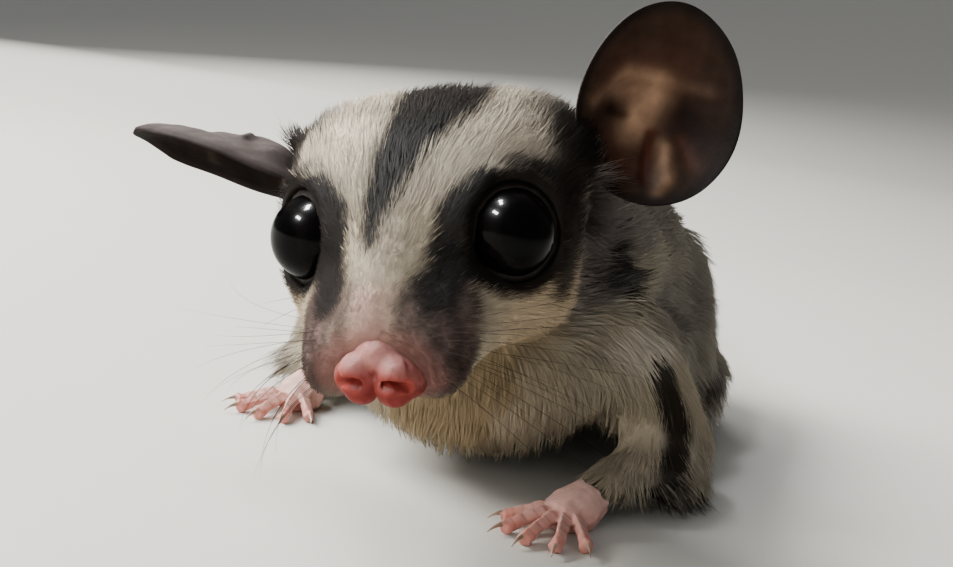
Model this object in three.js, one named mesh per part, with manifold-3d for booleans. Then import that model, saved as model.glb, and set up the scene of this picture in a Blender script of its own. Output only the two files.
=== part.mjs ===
// Sugar glider, life size, crouched on all fours with its head low, turned and tilted a little.
// Millimetres. +X is the animal's left, +Y runs from nose to tail, +Z is up, and the floor is z = 0.
// The solids are the outer form of the coat. Ears, paws, nose and lids are bare or nearly so.
import * as THREE from "three";
import { mergeVertices } from "three/addons/utils/BufferGeometryUtils.js";
import Module from "manifold-3d";

const wasm = await Module();
wasm.setup();

// Driving sizes
const GAP = 0.3;
const EYE_HEIGHT = 28;
const EYE_APART = 17.4;
const EYE_RADIUS = 4;
const HEAD_TURN = 7;
const HEAD_NOD = 15;
const HEAD_TILT = 12;
const EAR_LENGTH = 18.8;
const EAR_WIDTH = 15.8;
const EAR_THICK = 0.8;
const BODY_X = -4.5;
const SPINE_LEAN = 0.12;
const BACK_HEIGHT = 40.5;
const HEM_WAVE = 0.8;
const HEM_WAVES = 5.5;
const FOLD_THICK = 0.9;
const FOLD_BELLY = 1.6;
const TAIL_RADIUS = 9.6;
const TAIL_CORE = 0.56;
const TAIL_NODES = 5;
const LOCK_LENGTH = 26;
const LOCK_WIDTH = 9;
const LOCK_THICK = 1.7;
const LOCK_RINGS = 10;
const LOCKS_ROUND = 7;
// Moves the origin to the middle of the whole animal's footprint.
const ORIGIN_FROM_EYES = [-41.86, 110.09, 0];

const COLOURS = {
  grey_coat: ["#77716a", 0.95],
  pale_coat: ["#b9b1a1", 0.95],
  dark_coat: ["#2c2725", 0.95],
  ear_skin: ["#3a2a26", 0.7],
  bare_skin: ["#cf8580", 0.55],
  nose_skin: ["#d98280", 0.35],
  eye_black: ["#070708", 0.05],
};

const v3 = (p) => new THREE.Vector3(...p);
const radians = THREE.MathUtils.degToRad;
const mirrorX = ([x, y, z], side) => [x * side, y, z];

// Distance fields, near their surfaces. A field takes a point and gives millimetres, negative inside.
function ellipsoid(centre, radii, pitch = 0) {
  const [c, s] = [Math.cos(radians(pitch)), Math.sin(radians(pitch))];
  return ([x, y, z]) => {
    const [dx, dy, dz] = [x - centre[0], y - centre[1], z - centre[2]];
    const q = [dx, dy * c + dz * s, dz * c - dy * s];
    const near = Math.hypot(q[0] / radii[0], q[1] / radii[1], q[2] / radii[2]);
    const slope = Math.hypot(q[0] / radii[0] ** 2, q[1] / radii[1] ** 2, q[2] / radii[2] ** 2);
    return slope < 1e-9 ? -Math.min(...radii) : (near * (near - 1)) / slope;
  };
}

function limb(from, to, startRadius, endRadius) {
  const [a, along] = [v3(from), v3(to).sub(v3(from))];
  const longSquared = along.lengthSq();
  return (p) => {
    const d = v3(p).sub(a);
    const t = THREE.MathUtils.clamp(d.dot(along) / longSquared, 0, 1);
    return d.addScaledVector(along, -t).length() - startRadius - t * (endRadius - startRadius);
  };
}

// Joins fields with a fillet of the given size.
function blend(size, ...fields) {
  return (p) =>
    fields.reduce((sum, field) => {
      const d = field(p);
      const h = Math.max(size - Math.abs(sum - d), 0) / size;
      return Math.min(sum, d) - (h * h * size) / 4;
    }, 1e6);
}

const swell = (field, by) => (p) => field(p) - by;

function wrapPoint(field, origin, way, reach) {
  const at = (t) => origin.clone().addScaledVector(way, t).toArray();
  let [outside, inside] = [reach, 0];
  for (let t = reach; t > 0; t -= reach / 60) {
    if (field(at(t)) < 0) {
      inside = t;
      break;
    }
    outside = t;
  }
  for (let i = 0; i < 18; i++) {
    const middle = (outside + inside) / 2;
    if (field(at(middle)) < 0) inside = middle;
    else outside = middle;
  }
  return at((outside + inside) / 2);
}

// A closed mesh wrapped on a field, in rings about the line from start to end.
function wrap(field, start, end, segments, rings, reach) {
  const [a, b] = [v3(start), v3(end)];
  const axis = b.clone().sub(a).normalize();
  const hint = Math.abs(axis.z) > 0.9 ? new THREE.Vector3(0, 1, 0) : new THREE.Vector3(0, 0, 1);
  const side = new THREE.Vector3().crossVectors(axis, hint).normalize();
  const top = new THREE.Vector3().crossVectors(side, axis);
  const points = [...wrapPoint(field, a, axis.clone().negate(), reach)];
  for (let i = 1; i < rings; i++) {
    const s = (Math.PI * i) / rings;
    const origin = a.clone().lerp(b, (1 - Math.cos(s)) / 2);
    for (let j = 0; j < segments; j++) {
      const turn = (2 * Math.PI * j) / segments;
      const way = axis
        .clone()
        .multiplyScalar(-Math.cos(s))
        .addScaledVector(side, Math.sin(s) * Math.cos(turn))
        .addScaledVector(top, Math.sin(s) * Math.sin(turn));
      points.push(...wrapPoint(field, origin, way, reach));
    }
  }
  points.push(...wrapPoint(field, b, axis, reach));
  return ringMesh(points, segments, rings);
}

// Faces for a first pole, rings of points and a last pole.
function ringMesh(points, segments, rings) {
  const faces = [];
  const at = (ring, j) => 1 + (ring - 1) * segments + (j % segments);
  const last = points.length / 3 - 1;
  for (let j = 0; j < segments; j++) {
    faces.push(0, at(1, j + 1), at(1, j));
    for (let ring = 1; ring < rings - 1; ring++) {
      const [p, q, r, t] = [at(ring, j), at(ring, j + 1), at(ring + 1, j + 1), at(ring + 1, j)];
      faces.push(p, q, r, p, r, t);
    }
    faces.push(last, at(rings - 1, j), at(rings - 1, j + 1));
  }
  return new THREE.BufferGeometry()
    .setAttribute("position", new THREE.Float32BufferAttribute(points, 3))
    .setIndex(faces);
}

// Geometry to solid and back
function solid(geometry) {
  const bare = geometry.clone();
  bare.deleteAttribute("normal");
  bare.deleteAttribute("uv");
  const merged = mergeVertices(bare, 1e-4);
  const build = (triVerts) =>
    new wasm.Manifold(
      new wasm.Mesh({ numProp: 3, vertProperties: merged.attributes.position.array, triVerts }),
    );
  const made = build(new Uint32Array(merged.index.array));
  if (made.volume() > 0) return made;
  const turned = new Uint32Array(merged.index.array);
  for (let i = 0; i < turned.length; i += 3) {
    [turned[i + 1], turned[i + 2]] = [turned[i + 2], turned[i + 1]];
  }
  return build(turned);
}

function geometryOf(made) {
  const { numProp, vertProperties, triVerts } = made.getMesh();
  const positions = [];
  for (let i = 0; i < vertProperties.length; i += numProp) {
    positions.push(...vertProperties.subarray(i, i + 3));
  }
  return new THREE.BufferGeometry()
    .setAttribute("position", new THREE.Float32BufferAttribute(positions, 3))
    .setIndex(new THREE.Uint32BufferAttribute(triVerts, 1));
}

const largest = (made) => made.decompose().sort((a, b) => b.volume() - a.volume())[0];
const join = (...solids) => solids.reduce((sum, s) => sum.add(s));
const cut = (made, ...cutters) => largest(cutters.reduce((rest, s) => rest.subtract(s), made));
const placed = (made, matrix) => made.transform(matrix.elements);

const floorCutter = solid(new THREE.BoxGeometry(900, 900, 60).translate(0, 0, -30));

function mesh(name, made, colour) {
  const [tone, roughness] = COLOURS[colour];
  const material = new THREE.MeshStandardMaterial({ color: tone, roughness, metalness: 0 });
  const node = new THREE.Mesh(geometryOf(made), material);
  node.name = name;
  return node;
}

// Head frame: origin midway between the eyes, +X left, +Y back, +Z up the skull.
const headFrame = new THREE.Group();
headFrame.position.set(0, 0, EYE_HEIGHT);
headFrame.rotation.set(radians(HEAD_NOD), radians(-HEAD_TILT), radians(HEAD_TURN), "ZXY");
headFrame.updateMatrix();

const EYE_CENTRE = [EYE_APART / 2, -0.2, 0.9];
const EYE_ASIDE = 43;
const EYE_RAISED = 14;
// Shares of the eye's radius: the hollow round it and the ring of the lids.
const HOLLOW_FORWARD = 1.28;
const HOLLOW_SIZE = 1.55;
const LID_SIZE = 0.98;
const LID_FORWARD = 0.34;
const LID_THICK = 0.75;
const SOCKET_ROOM = GAP * 1.4;

const eyeAxis = (side) =>
  v3([
    side * Math.sin(radians(EYE_ASIDE)) * Math.cos(radians(EYE_RAISED)),
    -Math.cos(radians(EYE_ASIDE)) * Math.cos(radians(EYE_RAISED)),
    Math.sin(radians(EYE_RAISED)),
  ]);

// The same run of chance numbers every time.
function seeded(seed) {
  let state = seed;
  return () => {
    state = (state * 16807) % 2147483647;
    return (state - 1) / 2147483646;
  };
}

const both = (make) => [make(1), make(-1)];

const skull = blend(
  5,
  ellipsoid([0, 10, 1.2], [13.6, 13.4, 10.6]),
  ellipsoid([0, 15.5, -1], [11.5, 9.5, 9.5]),
  limb([0, 1, 0.8], [0, -10, -3.6], 7.2, 3.9),
  ...both((s) => ellipsoid(mirrorX([9.2, 12.5, 4.2], s), [6.2, 7, 5.6])),
  ...both((s) => ellipsoid(mirrorX([8, 1.6, 1.8], s), [5, 6, 5.4])),
  ...both((s) => ellipsoid(mirrorX([7.8, 4.6, -5.4], s), [6, 8.4, 6.2])),
);
const jaw = limb([0, -9.4, -8.3], [0, 7, -8.4], 2.1, 5.8);
const muzzlePads = [
  ...both((s) => ellipsoid(mirrorX([2.9, -9.8, -5.6], s), [3.4, 4, 3.4])),
  ...both((s) => ellipsoid(mirrorX([5, -4.6, -5], s), [4.2, 6, 4.6])),
];
const headField = blend(2.4, blend(1, skull, jaw), ...muzzlePads);

// The hollow in which each eyeball stands half clear of the face.
function hollow(side) {
  const forward = EYE_RADIUS * HOLLOW_FORWARD;
  const centre = v3(mirrorX(EYE_CENTRE, side)).addScaledVector(eyeAxis(side), forward);
  return solid(new THREE.SphereGeometry(EYE_RADIUS * HOLLOW_SIZE, 14, 8).translate(...centre.toArray()));
}

function eyeball(side) {
  const ball = new THREE.SphereGeometry(EYE_RADIUS, 16, 9);
  return solid(ball.translate(...mirrorX(EYE_CENTRE, side)));
}

function socket(side) {
  const ball = new THREE.SphereGeometry(EYE_RADIUS + SOCKET_ROOM, 14, 8);
  return solid(ball.translate(...mirrorX(EYE_CENTRE, side)));
}

// A ring of skin that hugs the eyeball.
function lids(side) {
  const ring = new THREE.TorusGeometry(EYE_RADIUS * LID_SIZE, LID_THICK, 5, 16);
  ring.scale(1.02, 0.96, 1);
  const turn = new THREE.Quaternion().setFromUnitVectors(new THREE.Vector3(0, 0, 1), eyeAxis(side));
  ring.applyQuaternion(turn);
  const forward = EYE_RADIUS * LID_FORWARD;
  const centre = v3(mirrorX(EYE_CENTRE, side)).addScaledVector(eyeAxis(side), forward);
  return solid(ring.translate(...centre.toArray()));
}

// The line of the mouth, as a groove along the muzzle's side.
const MOUTH_GROOVE = 0.42;
const MOUTH = [
  [0, -13.6, -8.1],
  [2.6, -12.4, -8.2],
  [4.8, -9.4, -8],
  [6.4, -5.6, -7.4],
  [7.6, -2, -6.6],
];

function onHead([x, y, z]) {
  const inner = new THREE.Vector3(0, Math.max(y + 4, -8), z + 1);
  const way = v3([x, y, z]).sub(inner).normalize();
  return v3(wrapPoint(headField, inner, way, 24));
}

function mouthGroove() {
  const right = MOUTH.slice(1).map((p) => onHead(mirrorX(p, -1)));
  const left = MOUTH.slice(1).map((p) => onHead(p));
  const line = new THREE.CatmullRomCurve3([...right.reverse(), onHead(MOUTH[0]), ...left]);
  const section = new THREE.Shape(
    new THREE.EllipseCurve(0, 0, MOUTH_GROOVE, MOUTH_GROOVE).getSpacedPoints(5).slice(0, -1),
  );
  return solid(
    new THREE.ExtrudeGeometry(section, { steps: 12, extrudePath: line, bevelEnabled: false }),
  );
}

const headSolid = (by = 0, segments = 28, rings = 22) =>
  solid(wrap(swell(headField, by), [0, -6, -4.6], [0, 11, 0], segments, rings, 34));

// Nose pad with two lobes, nostrils and a cleft.
const noseField = blend(
  0.9,
  ellipsoid([0, -13.4, -4.8], [2.5, 2.3, 1.5]),
  ...both((s) => ellipsoid(mirrorX([2.05, -13.7, -5.7], s), [1.65, 2, 1.6])),
  ...both((s) => ellipsoid(mirrorX([1.1, -14.1, -7.1], s), [1.4, 1.5, 1.3])),
);
const NOSE_MIDDLE = [0, -13.4, -4.8];
const NOSE_FOOT = [0, -13.9, -7];
const NOSTRIL = { place: [1.9, -15.5, -6.1], turn: 38, radii: [0.62, 1.1, 0.8] };
const CLEFT = { place: [0, -16.3, -7.3], size: [0.3, 2.6, 3] };
const noseSolid = (by = 0) => solid(wrap(swell(noseField, by), NOSE_FOOT, NOSE_MIDDLE, 14, 9, 9));

function nose() {
  const nostrils = both((s) => {
    const hole = new THREE.SphereGeometry(1, 9, 7).scale(...NOSTRIL.radii);
    return solid(hole.rotateZ(radians(NOSTRIL.turn * s)).translate(...mirrorX(NOSTRIL.place, s)));
  });
  const cleft = solid(new THREE.BoxGeometry(...CLEFT.size).translate(...CLEFT.place));
  return cut(noseSolid(), ...nostrils, cleft);
}

// Ears: cupped leaves with their own centre, length axis and facing, because each is turned its own way.
const EARS = {
  left: {
    centre: [20.5, 15.1, 7.7],
    along: [0.22, 0.4, 0.89],
    facing: [0.42, -0.88, 0.2],
    depth: 3.6,
    root: 1,
  },
  right: {
    centre: [-21.8, 10.4, 4.6],
    along: [-0.9, -0.11, 0.43],
    facing: [-0.31, -0.52, -0.78],
    depth: 2.4,
    root: -1,
  },
};
const EAR_ROOT = [11.5, 13.5, 3.2];
const EAR_NARROWING = 0.9;
const CONCHA_DEPTH = 1.8;
const CONCHA_SPREAD = 14;
const STEM_RADII = [3, 2.7];

function ear(side) {
  const { centre, along, facing, depth, root } = EARS[side];
  const w = v3(facing).normalize();
  const u = v3(along).addScaledVector(w, -v3(along).dot(w)).normalize();
  const v = new THREE.Vector3().crossVectors(w, u);
  const toRoot = v3(mirrorX(EAR_ROOT, root)).sub(v3(centre));
  const [rootU, rootV] = [toRoot.dot(u), toRoot.dot(v)];
  const [segments, rings] = [20, 4];
  const place = (pu, pv, pw) =>
    v3(centre).addScaledVector(u, pu).addScaledVector(v, pv).addScaledVector(w, pw).toArray();
  const leaf = (r, turn, lift) => {
    const pu = (r * Math.cos(turn) * EAR_LENGTH) / 2;
    const pv = (r * Math.sin(turn) * (EAR_WIDTH - EAR_NARROWING * Math.cos(turn))) / 2;
    const cup = depth * (1 - r ** 2.2);
    const away = (pu - rootU * 0.5) ** 2 + (pv - rootV * 0.5) ** 2;
    const concha = CONCHA_DEPTH * Math.exp(-away / CONCHA_SPREAD) * (1 - r * r);
    return place(pu, pv, -cup - concha + lift);
  };
  const points = [...leaf(0, 0, 0)];
  for (let ring = 1; ring <= rings; ring++) {
    for (let j = 0; j < segments; j++) {
      points.push(...leaf(ring / rings, (2 * Math.PI * j) / segments, 0));
    }
  }
  for (let ring = rings; ring >= 1; ring--) {
    for (let j = 0; j < segments; j++) {
      points.push(...leaf(ring / rings - 0.012, (2 * Math.PI * j) / segments, -EAR_THICK));
    }
  }
  points.push(...leaf(0, 0, -EAR_THICK));
  const blade = solid(ringMesh(points, segments, 2 * rings + 1));
  const foot = mirrorX(EAR_ROOT, root);
  const joint = place(rootU * 0.5, rootV * 0.5, -depth - 2.4);
  const stem = wrap(limb(foot, joint, ...STEM_RADII), foot, joint, 10, 7, 8);
  return join(blade, solid(stem));
}

// Body points: x from the spine, which leans away to the animal's right, y from the eyes, z from the floor.
const bodyPoint = ([x, y, z]) => [BODY_X - SPINE_LEAN * (y - 37) + x, y, z];
const flankPoint = (side, [x, y, z]) => bodyPoint([side === "left" ? x : -x, y, z]);
const trunkField = blend(
  9,
  ellipsoid(bodyPoint([0.5, 38, 19.8]), [17.5, 18, 16]),
  ellipsoid(bodyPoint([1, 30, 14]), [16.5, 13.5, 12.4]),
  ellipsoid(bodyPoint([0, 53, BACK_HEIGHT - 18.9]), [20, 22, 17.6]),
  ellipsoid(bodyPoint([-0.5, 74, BACK_HEIGHT - 19.4]), [23, 22, 18.8]),
  ellipsoid(bodyPoint([-0.5, 90, 18.5]), [20, 18, 16.4]),
);
const NECK_TOP = [-3, 17, 30];
const NECK_FOOT = bodyPoint([0, 37, 22]);
const neckField = limb(NECK_TOP, NECK_FOOT, 11.8, 16);
const neckWrap = (by = 0) => solid(wrap(swell(neckField, by), NECK_TOP, NECK_FOOT, 16, 8, 30));

const SHOULDER = { left: [10.5, 33, 19], right: [-19.5, 40, 18.5] };
const ELBOW = { left: [19, 41, 7], right: [-30.5, 54, 7.5] };
const WRIST = { left: [15.4, 25, 3.9], right: [-27.2, 44, 3.9] };
const HIP = { left: flankPoint("left", [12, 86, 17.5]), right: flankPoint("right", [12, 86, 17.5]) };
const KNEE = { left: flankPoint("left", [18.2, 68, 12.4]), right: flankPoint("right", [18.2, 68, 12.4]) };
const HEEL = { left: flankPoint("left", [20, 90, 4.4]), right: flankPoint("right", [20, 90, 4.4]) };

// Each half of a leg tapers between two joints: [start radius, end radius, segments, rings].
const FORELEG = { upper: [8, 5.4, 12, 8], lower: [5.3, 2.9, 10, 8] };
const HINDLEG = { upper: [14, 9.6, 14, 9], lower: [6.4, 3.4, 10, 8] };

function legHalf(from, to, [startRadius, endRadius, segments, rings], by) {
  const field = limb(from, to, startRadius + by, endRadius + by);
  return solid(wrap(field, from, to, segments, rings, startRadius * 2));
}

const legHalves = ([top, middle, end], shape, by = 0) => [
  legHalf(top, middle, shape.upper, by),
  legHalf(middle, end, shape.lower, by),
];

// Paws. A digit is a short bent finger with a pad and a claw: [spread in degrees, length, claw length].
const FORE_DIGITS = [
  [-44, 4.4, 1.4],
  [-21, 6.1, 1.7],
  [-1, 6.8, 1.8],
  [19, 6.5, 1.8],
  [40, 5.2, 1.6],
];
const HIND_DIGITS = [
  [-104, 5.8, 0],
  [-27, 6.4, 1.4],
  [-11, 6.8, 1.4],
  [9, 8.6, 1.9],
  [31, 7.8, 1.8],
];
const FOREPAWS = {
  left: { palm: [13.4, 20.6, 1.5], heading: -12 },
  right: { palm: [-27.2, 39.4, 1.5], heading: -6 },
};
const FOREPAW_SIZE = 3.1;
const HINDPAW_SIZE = 3.5;
const DIGIT_THICK = 0.27;
const CLAW_DROP = 0.32;
const HINDPAWS = {
  left: { palm: flankPoint("left", [22, 74, 1.6]), heading: 10 },
  right: { palm: flankPoint("right", [22, 74, 1.6]), heading: -18 },
};

function digit(base, way, long, clawLong, thick) {
  const tip = base.clone().addScaledVector(way, long);
  const knuckle = base.clone().addScaledVector(way, long * 0.45);
  knuckle.z += thick * 0.75;
  tip.z = thick * 0.78;
  const bones = blend(
    0.8,
    limb(base.toArray(), knuckle.toArray(), thick * 1.05, thick * 0.95),
    limb(knuckle.toArray(), tip.toArray(), thick * 0.95, thick * 0.8),
    ellipsoid(tip.toArray(), [thick * 1.15, thick * 1.15, thick]),
  );
  const finger = solid(wrap(bones, base.toArray(), tip.toArray(), 5, 5, thick * 4));
  if (!clawLong) return finger;
  const hook = new THREE.ConeGeometry(0.5, clawLong, 4).rotateX(Math.PI / 2);
  hook.lookAt(way.clone().add(new THREE.Vector3(0, 0, -CLAW_DROP)));
  const end = tip.clone().addScaledVector(way, thick * 0.7 + clawLong * 0.4);
  return join(finger, solid(hook.translate(end.x, end.y, end.z + CLAW_DROP)));
}

function paw(side, { palm, heading }, digits, size, heel) {
  const inward = side === "left" ? 1 : -1;
  const pieces = digits.map(([spread, long, clawLong]) => {
    const turn = radians(heading + spread * inward);
    const way = new THREE.Vector3(Math.sin(turn), -Math.cos(turn), 0);
    const base = v3(palm).addScaledVector(way, size * 0.62);
    base.z = 1.35;
    return digit(base, way, long, clawLong, size * DIGIT_THICK);
  });
  const palmPad = ellipsoid(palm, [size, size * 1.1, size * 0.62]);
  const pad = blend(2, palmPad, limb(palm, heel, size * 0.6, size * 0.72));
  return join(solid(wrap(pad, palm, heel, 10, 8, 16)), ...pieces);
}

// The folded gliding membrane: a loose skirt of skin down each flank from wrist to ankle.
const FOLD_TOP = [
  [19.5, 46, 13],
  [20.4, 55, 18],
  [22.4, 66, 19],
  [24.4, 76, 17],
  [23.4, 86, 13],
  [19.4, 93, 7],
];
const FOLD_HEM = [
  [26.4, 50, 1.6],
  [26.2, 62, 2.2],
  [27.8, 74, 2.6],
  [27.4, 84, 2.4],
  [22.4, 95, 2],
];

function membrane(side) {
  const s = side === "left" ? 1 : -1;
  const [elbowX, elbowY] = ELBOW[side];
  const wrist = v3(WRIST[side]);
  const curve = (points) => new THREE.CatmullRomCurve3(points);
  const flank = (points) => points.map((p) => v3(flankPoint(side, p)));
  const overElbow = new THREE.Vector3(elbowX + s * 1.6, elbowY - 4, 9.6);
  const top = curve([wrist.clone(), overElbow, ...flank(FOLD_TOP)]);
  const front = new THREE.Vector3(wrist.x + s * 3, wrist.y + 1, 1.6);
  const corner = new THREE.Vector3(elbowX + s * 4.4, elbowY - 4, 1.3);
  const hem = curve([front, corner, ...flank(FOLD_HEM)]);
  const [steps, sides] = [16, 8];
  const place = (t, turn, scale) => {
    const [upper, lower] = [top.getPoint(t), hem.getPoint(t)];
    const half = upper.clone().sub(lower).multiplyScalar(0.5 * scale);
    const along = hem.getTangent(t);
    const outward = new THREE.Vector3().crossVectors(along, half).normalize();
    if (outward.x * s < 0) outward.negate();
    const towardsHem = (1 - Math.cos(turn)) / 2;
    const thick = FOLD_THICK * (1 + towardsHem ** 2) * scale;
    const wave = towardsHem * HEM_WAVE * Math.sin(2 * Math.PI * HEM_WAVES * t);
    const belly = FOLD_BELLY * Math.sin(turn) ** 2;
    return upper
      .add(lower)
      .multiplyScalar(0.5)
      .addScaledVector(half, Math.cos(turn))
      .addScaledVector(outward, thick * Math.sin(turn) + wave + belly)
      .toArray();
  };
  const points = [...place(0, 0, 0.05)];
  for (let ring = 0; ring <= steps; ring++) {
    const scale = ring === 0 || ring === steps ? 0.4 : 1;
    for (let j = 0; j < sides; j++) {
      points.push(...place(ring / steps, (2 * Math.PI * j) / sides, scale));
    }
  }
  points.push(...place(1, 0, 0.05));
  return solid(ringMesh(points, sides, steps + 2));
}

// Tail: laid on the floor in an easy curve, a slim core with long flat locks that lean back over each other.
const TAIL_LINE = new THREE.CatmullRomCurve3(
  [
    bodyPoint([0, 98, 14]),
    bodyPoint([0, 112, 10.4]),
    bodyPoint([-1, 130, 8.8]),
    bodyPoint([-6, 156, 8.4]),
    bodyPoint([-20, 184, 8.2]),
    bodyPoint([-43, 208, 7.6]),
    bodyPoint([-66, 222, 6.6]),
  ].map(v3),
);
const TAIL_SPAN = TAIL_LINE.getLength();
const tailRadius = (t) => TAIL_RADIUS * (1 - 0.24 * Math.exp(-t * 9)) * (1 - 0.16 * t ** 3);

// A point of the tail: share t of the way along it, turned about it, and out from its middle.
function tailPoint(t, turn, out) {
  const within = Math.min(Math.max(t, 0), 1);
  const along = TAIL_LINE.getTangentAt(within);
  const aside = new THREE.Vector3(along.y, -along.x, 0).normalize();
  const up = new THREE.Vector3().crossVectors(aside, along);
  return TAIL_LINE.getPointAt(within)
    .addScaledVector(along, (t - within) * TAIL_SPAN)
    .addScaledVector(aside, out * Math.cos(turn))
    .addScaledVector(up, out * Math.sin(turn));
}

function tailCore() {
  const [segments, rings] = [10, 16];
  const points = [...tailPoint(0, 0, 0).toArray()];
  for (let ring = 0; ring < rings; ring++) {
    const t = ring / (rings - 1);
    const out = tailRadius(t) * TAIL_CORE * Math.sqrt(1 - 0.85 * t ** 6);
    for (let j = 0; j < segments; j++) {
      points.push(...tailPoint(t, (2 * Math.PI * j) / segments, out).toArray());
    }
  }
  points.push(...tailPoint(1.01, 0, 0).toArray());
  return solid(ringMesh(points, segments, rings + 1));
}

// One lock: a three-sided leaf that rises from the core, lies along the coat and ends in a point.
function tailLock(start, turn, long, wide, drift) {
  const steps = [0, 0.3, 0.66];
  const outer = tailRadius(start);
  const rise = (s) => Math.sin((Math.min(1, 0.16 + s * 1.5) * Math.PI) / 2);
  const spot = (s, across, over) => {
    const out = outer * rise(s) + over;
    return tailPoint(start + (s * long) / TAIL_SPAN, turn + drift * s + across / out, out).toArray();
  };
  const points = [...spot(0, 0, -LOCK_THICK)];
  for (const s of steps) {
    const half = (wide / 2) * (s ? 1 : 0.6) * (1 - 0.35 * s);
    points.push(...spot(s, -half, -LOCK_THICK), ...spot(s, half, -LOCK_THICK), ...spot(s, 0, 0));
  }
  points.push(...spot(1, 0, -LOCK_THICK * 0.5));
  return solid(ringMesh(points, 3, steps.length + 1));
}

function tailLocks() {
  const random = seeded(5);
  const locks = [];
  for (let ring = 0; ring < LOCK_RINGS; ring++) {
    const start = 0.015 + (0.985 * ring) / LOCK_RINGS;
    for (let j = 0; j < LOCKS_ROUND; j++) {
      const turn = (2 * Math.PI * (j + 0.5 * (ring % 2) + 0.3 * random())) / LOCKS_ROUND;
      const long = LOCK_LENGTH * (0.85 + 0.3 * random());
      const wide = LOCK_WIDTH * (0.85 + 0.3 * random());
      locks.push(tailLock(start + 0.012 * random(), turn, long, wide, 0.3 * (random() - 0.5)));
    }
  }
  return locks;
}

// Thin cuts across the tail part it into its lengths.
function tailLengths() {
  const slabs = [];
  for (let i = 1; i < TAIL_NODES; i++) {
    const along = TAIL_LINE.getTangentAt(i / TAIL_NODES);
    const slab = new THREE.BoxGeometry(50, 50, GAP);
    slab.applyQuaternion(new THREE.Quaternion().setFromUnitVectors(new THREE.Vector3(0, 0, 1), along));
    slabs.push(solid(slab.translate(...TAIL_LINE.getPointAt(i / TAIL_NODES).toArray())));
  }
  const whole = cut(join(tailCore(), ...tailLocks()), trunkKeep, floorCutter);
  const pieces = slabs.reduce((rest, slab) => rest.subtract(slab), whole).decompose();
  const large = pieces.sort((a, b) => b.volume() - a.volume()).slice(0, TAIL_NODES);
  return large.sort((a, b) => a.boundingBox().min[1] - b.boundingBox().min[1]);
}

// Assembly
const trunkSolid = (by = 0) =>
  solid(wrap(swell(trunkField, by), bodyPoint([0, 42, 21]), bodyPoint([0, 90, 19]), 24, 17, 50));
const trunkKeep = trunkSolid(GAP);

const eyes = both(eyeball);
const noseNode = nose();
const noseKeep = noseSolid(GAP);
const face = cut(headSolid(), ...both(hollow));
const head = cut(join(face, ...both(lids)), ...both(socket), noseKeep, mouthGroove());
const headKeep = headSolid(GAP);
const ears = ["left", "right"].map((side) => cut(ear(side), headKeep));

const headKeepPlaced = placed(headSolid(GAP * 2, 18, 12), headFrame.matrix);
const trunk = cut(trunkSolid(), headKeepPlaced, floorCutter);
const neck = cut(neckWrap(), trunkKeep, headKeepPlaced);
const neckKeep = neckWrap(GAP);

const group = new THREE.Group();
const bodyFrame = new THREE.Group();
group.add(bodyFrame);
bodyFrame.position.set(-ORIGIN_FROM_EYES[0], -ORIGIN_FROM_EYES[1], -ORIGIN_FROM_EYES[2]);
bodyFrame.add(headFrame);
headFrame.add(mesh("head", head, "pale_coat"));
headFrame.add(mesh("nose", noseNode, "nose_skin"));
["left", "right"].forEach((side, i) => {
  headFrame.add(mesh(`eye_${side}`, eyes[i], "eye_black"));
  headFrame.add(mesh(`ear_${side}`, ears[i], "ear_skin"));
});
bodyFrame.add(mesh("neck", neck, "grey_coat"));
bodyFrame.add(mesh("torso", trunk, "grey_coat"));

for (const side of ["left", "right"]) {
  const foreJoints = [SHOULDER[side], ELBOW[side], WRIST[side]];
  const hindJoints = [HIP[side], KNEE[side], HEEL[side]];
  const foreKeeps = legHalves(foreJoints, FORELEG, GAP);
  const hindKeeps = legHalves(hindJoints, HINDLEG, GAP);
  const foreleg = join(...legHalves(foreJoints, FORELEG));
  const foreNode = cut(foreleg, trunkKeep, neckKeep, headKeepPlaced, floorCutter);
  const hindNode = cut(join(...legHalves(hindJoints, HINDLEG)), trunkKeep, floorCutter);
  const forepaw = paw(side, FOREPAWS[side], FORE_DIGITS, FOREPAW_SIZE, WRIST[side]);
  const hindpaw = paw(side, HINDPAWS[side], HIND_DIGITS, HINDPAW_SIZE, HEEL[side]);
  const fold = cut(membrane(side), trunkKeep, ...foreKeeps, ...hindKeeps, floorCutter);
  bodyFrame.add(mesh(`foreleg_${side}`, cut(foreNode, ...hindKeeps), "grey_coat"));
  bodyFrame.add(mesh(`forepaw_${side}`, cut(forepaw, ...foreKeeps, floorCutter), "bare_skin"));
  bodyFrame.add(mesh(`hindleg_${side}`, hindNode, "grey_coat"));
  bodyFrame.add(mesh(`hindpaw_${side}`, cut(hindpaw, ...hindKeeps, trunkKeep, floorCutter), "bare_skin"));
  bodyFrame.add(mesh(`membrane_${side}`, fold, "dark_coat"));
}

tailLengths().forEach((length, i) => bodyFrame.add(mesh(`tail_${i + 1}`, length, "grey_coat")));

export default group;
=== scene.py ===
import math

import bmesh
import bpy
import numpy as np
from mathutils import Matrix, Vector
from mathutils.bvhtree import BVHTree
from mathutils.kdtree import KDTree


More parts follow.
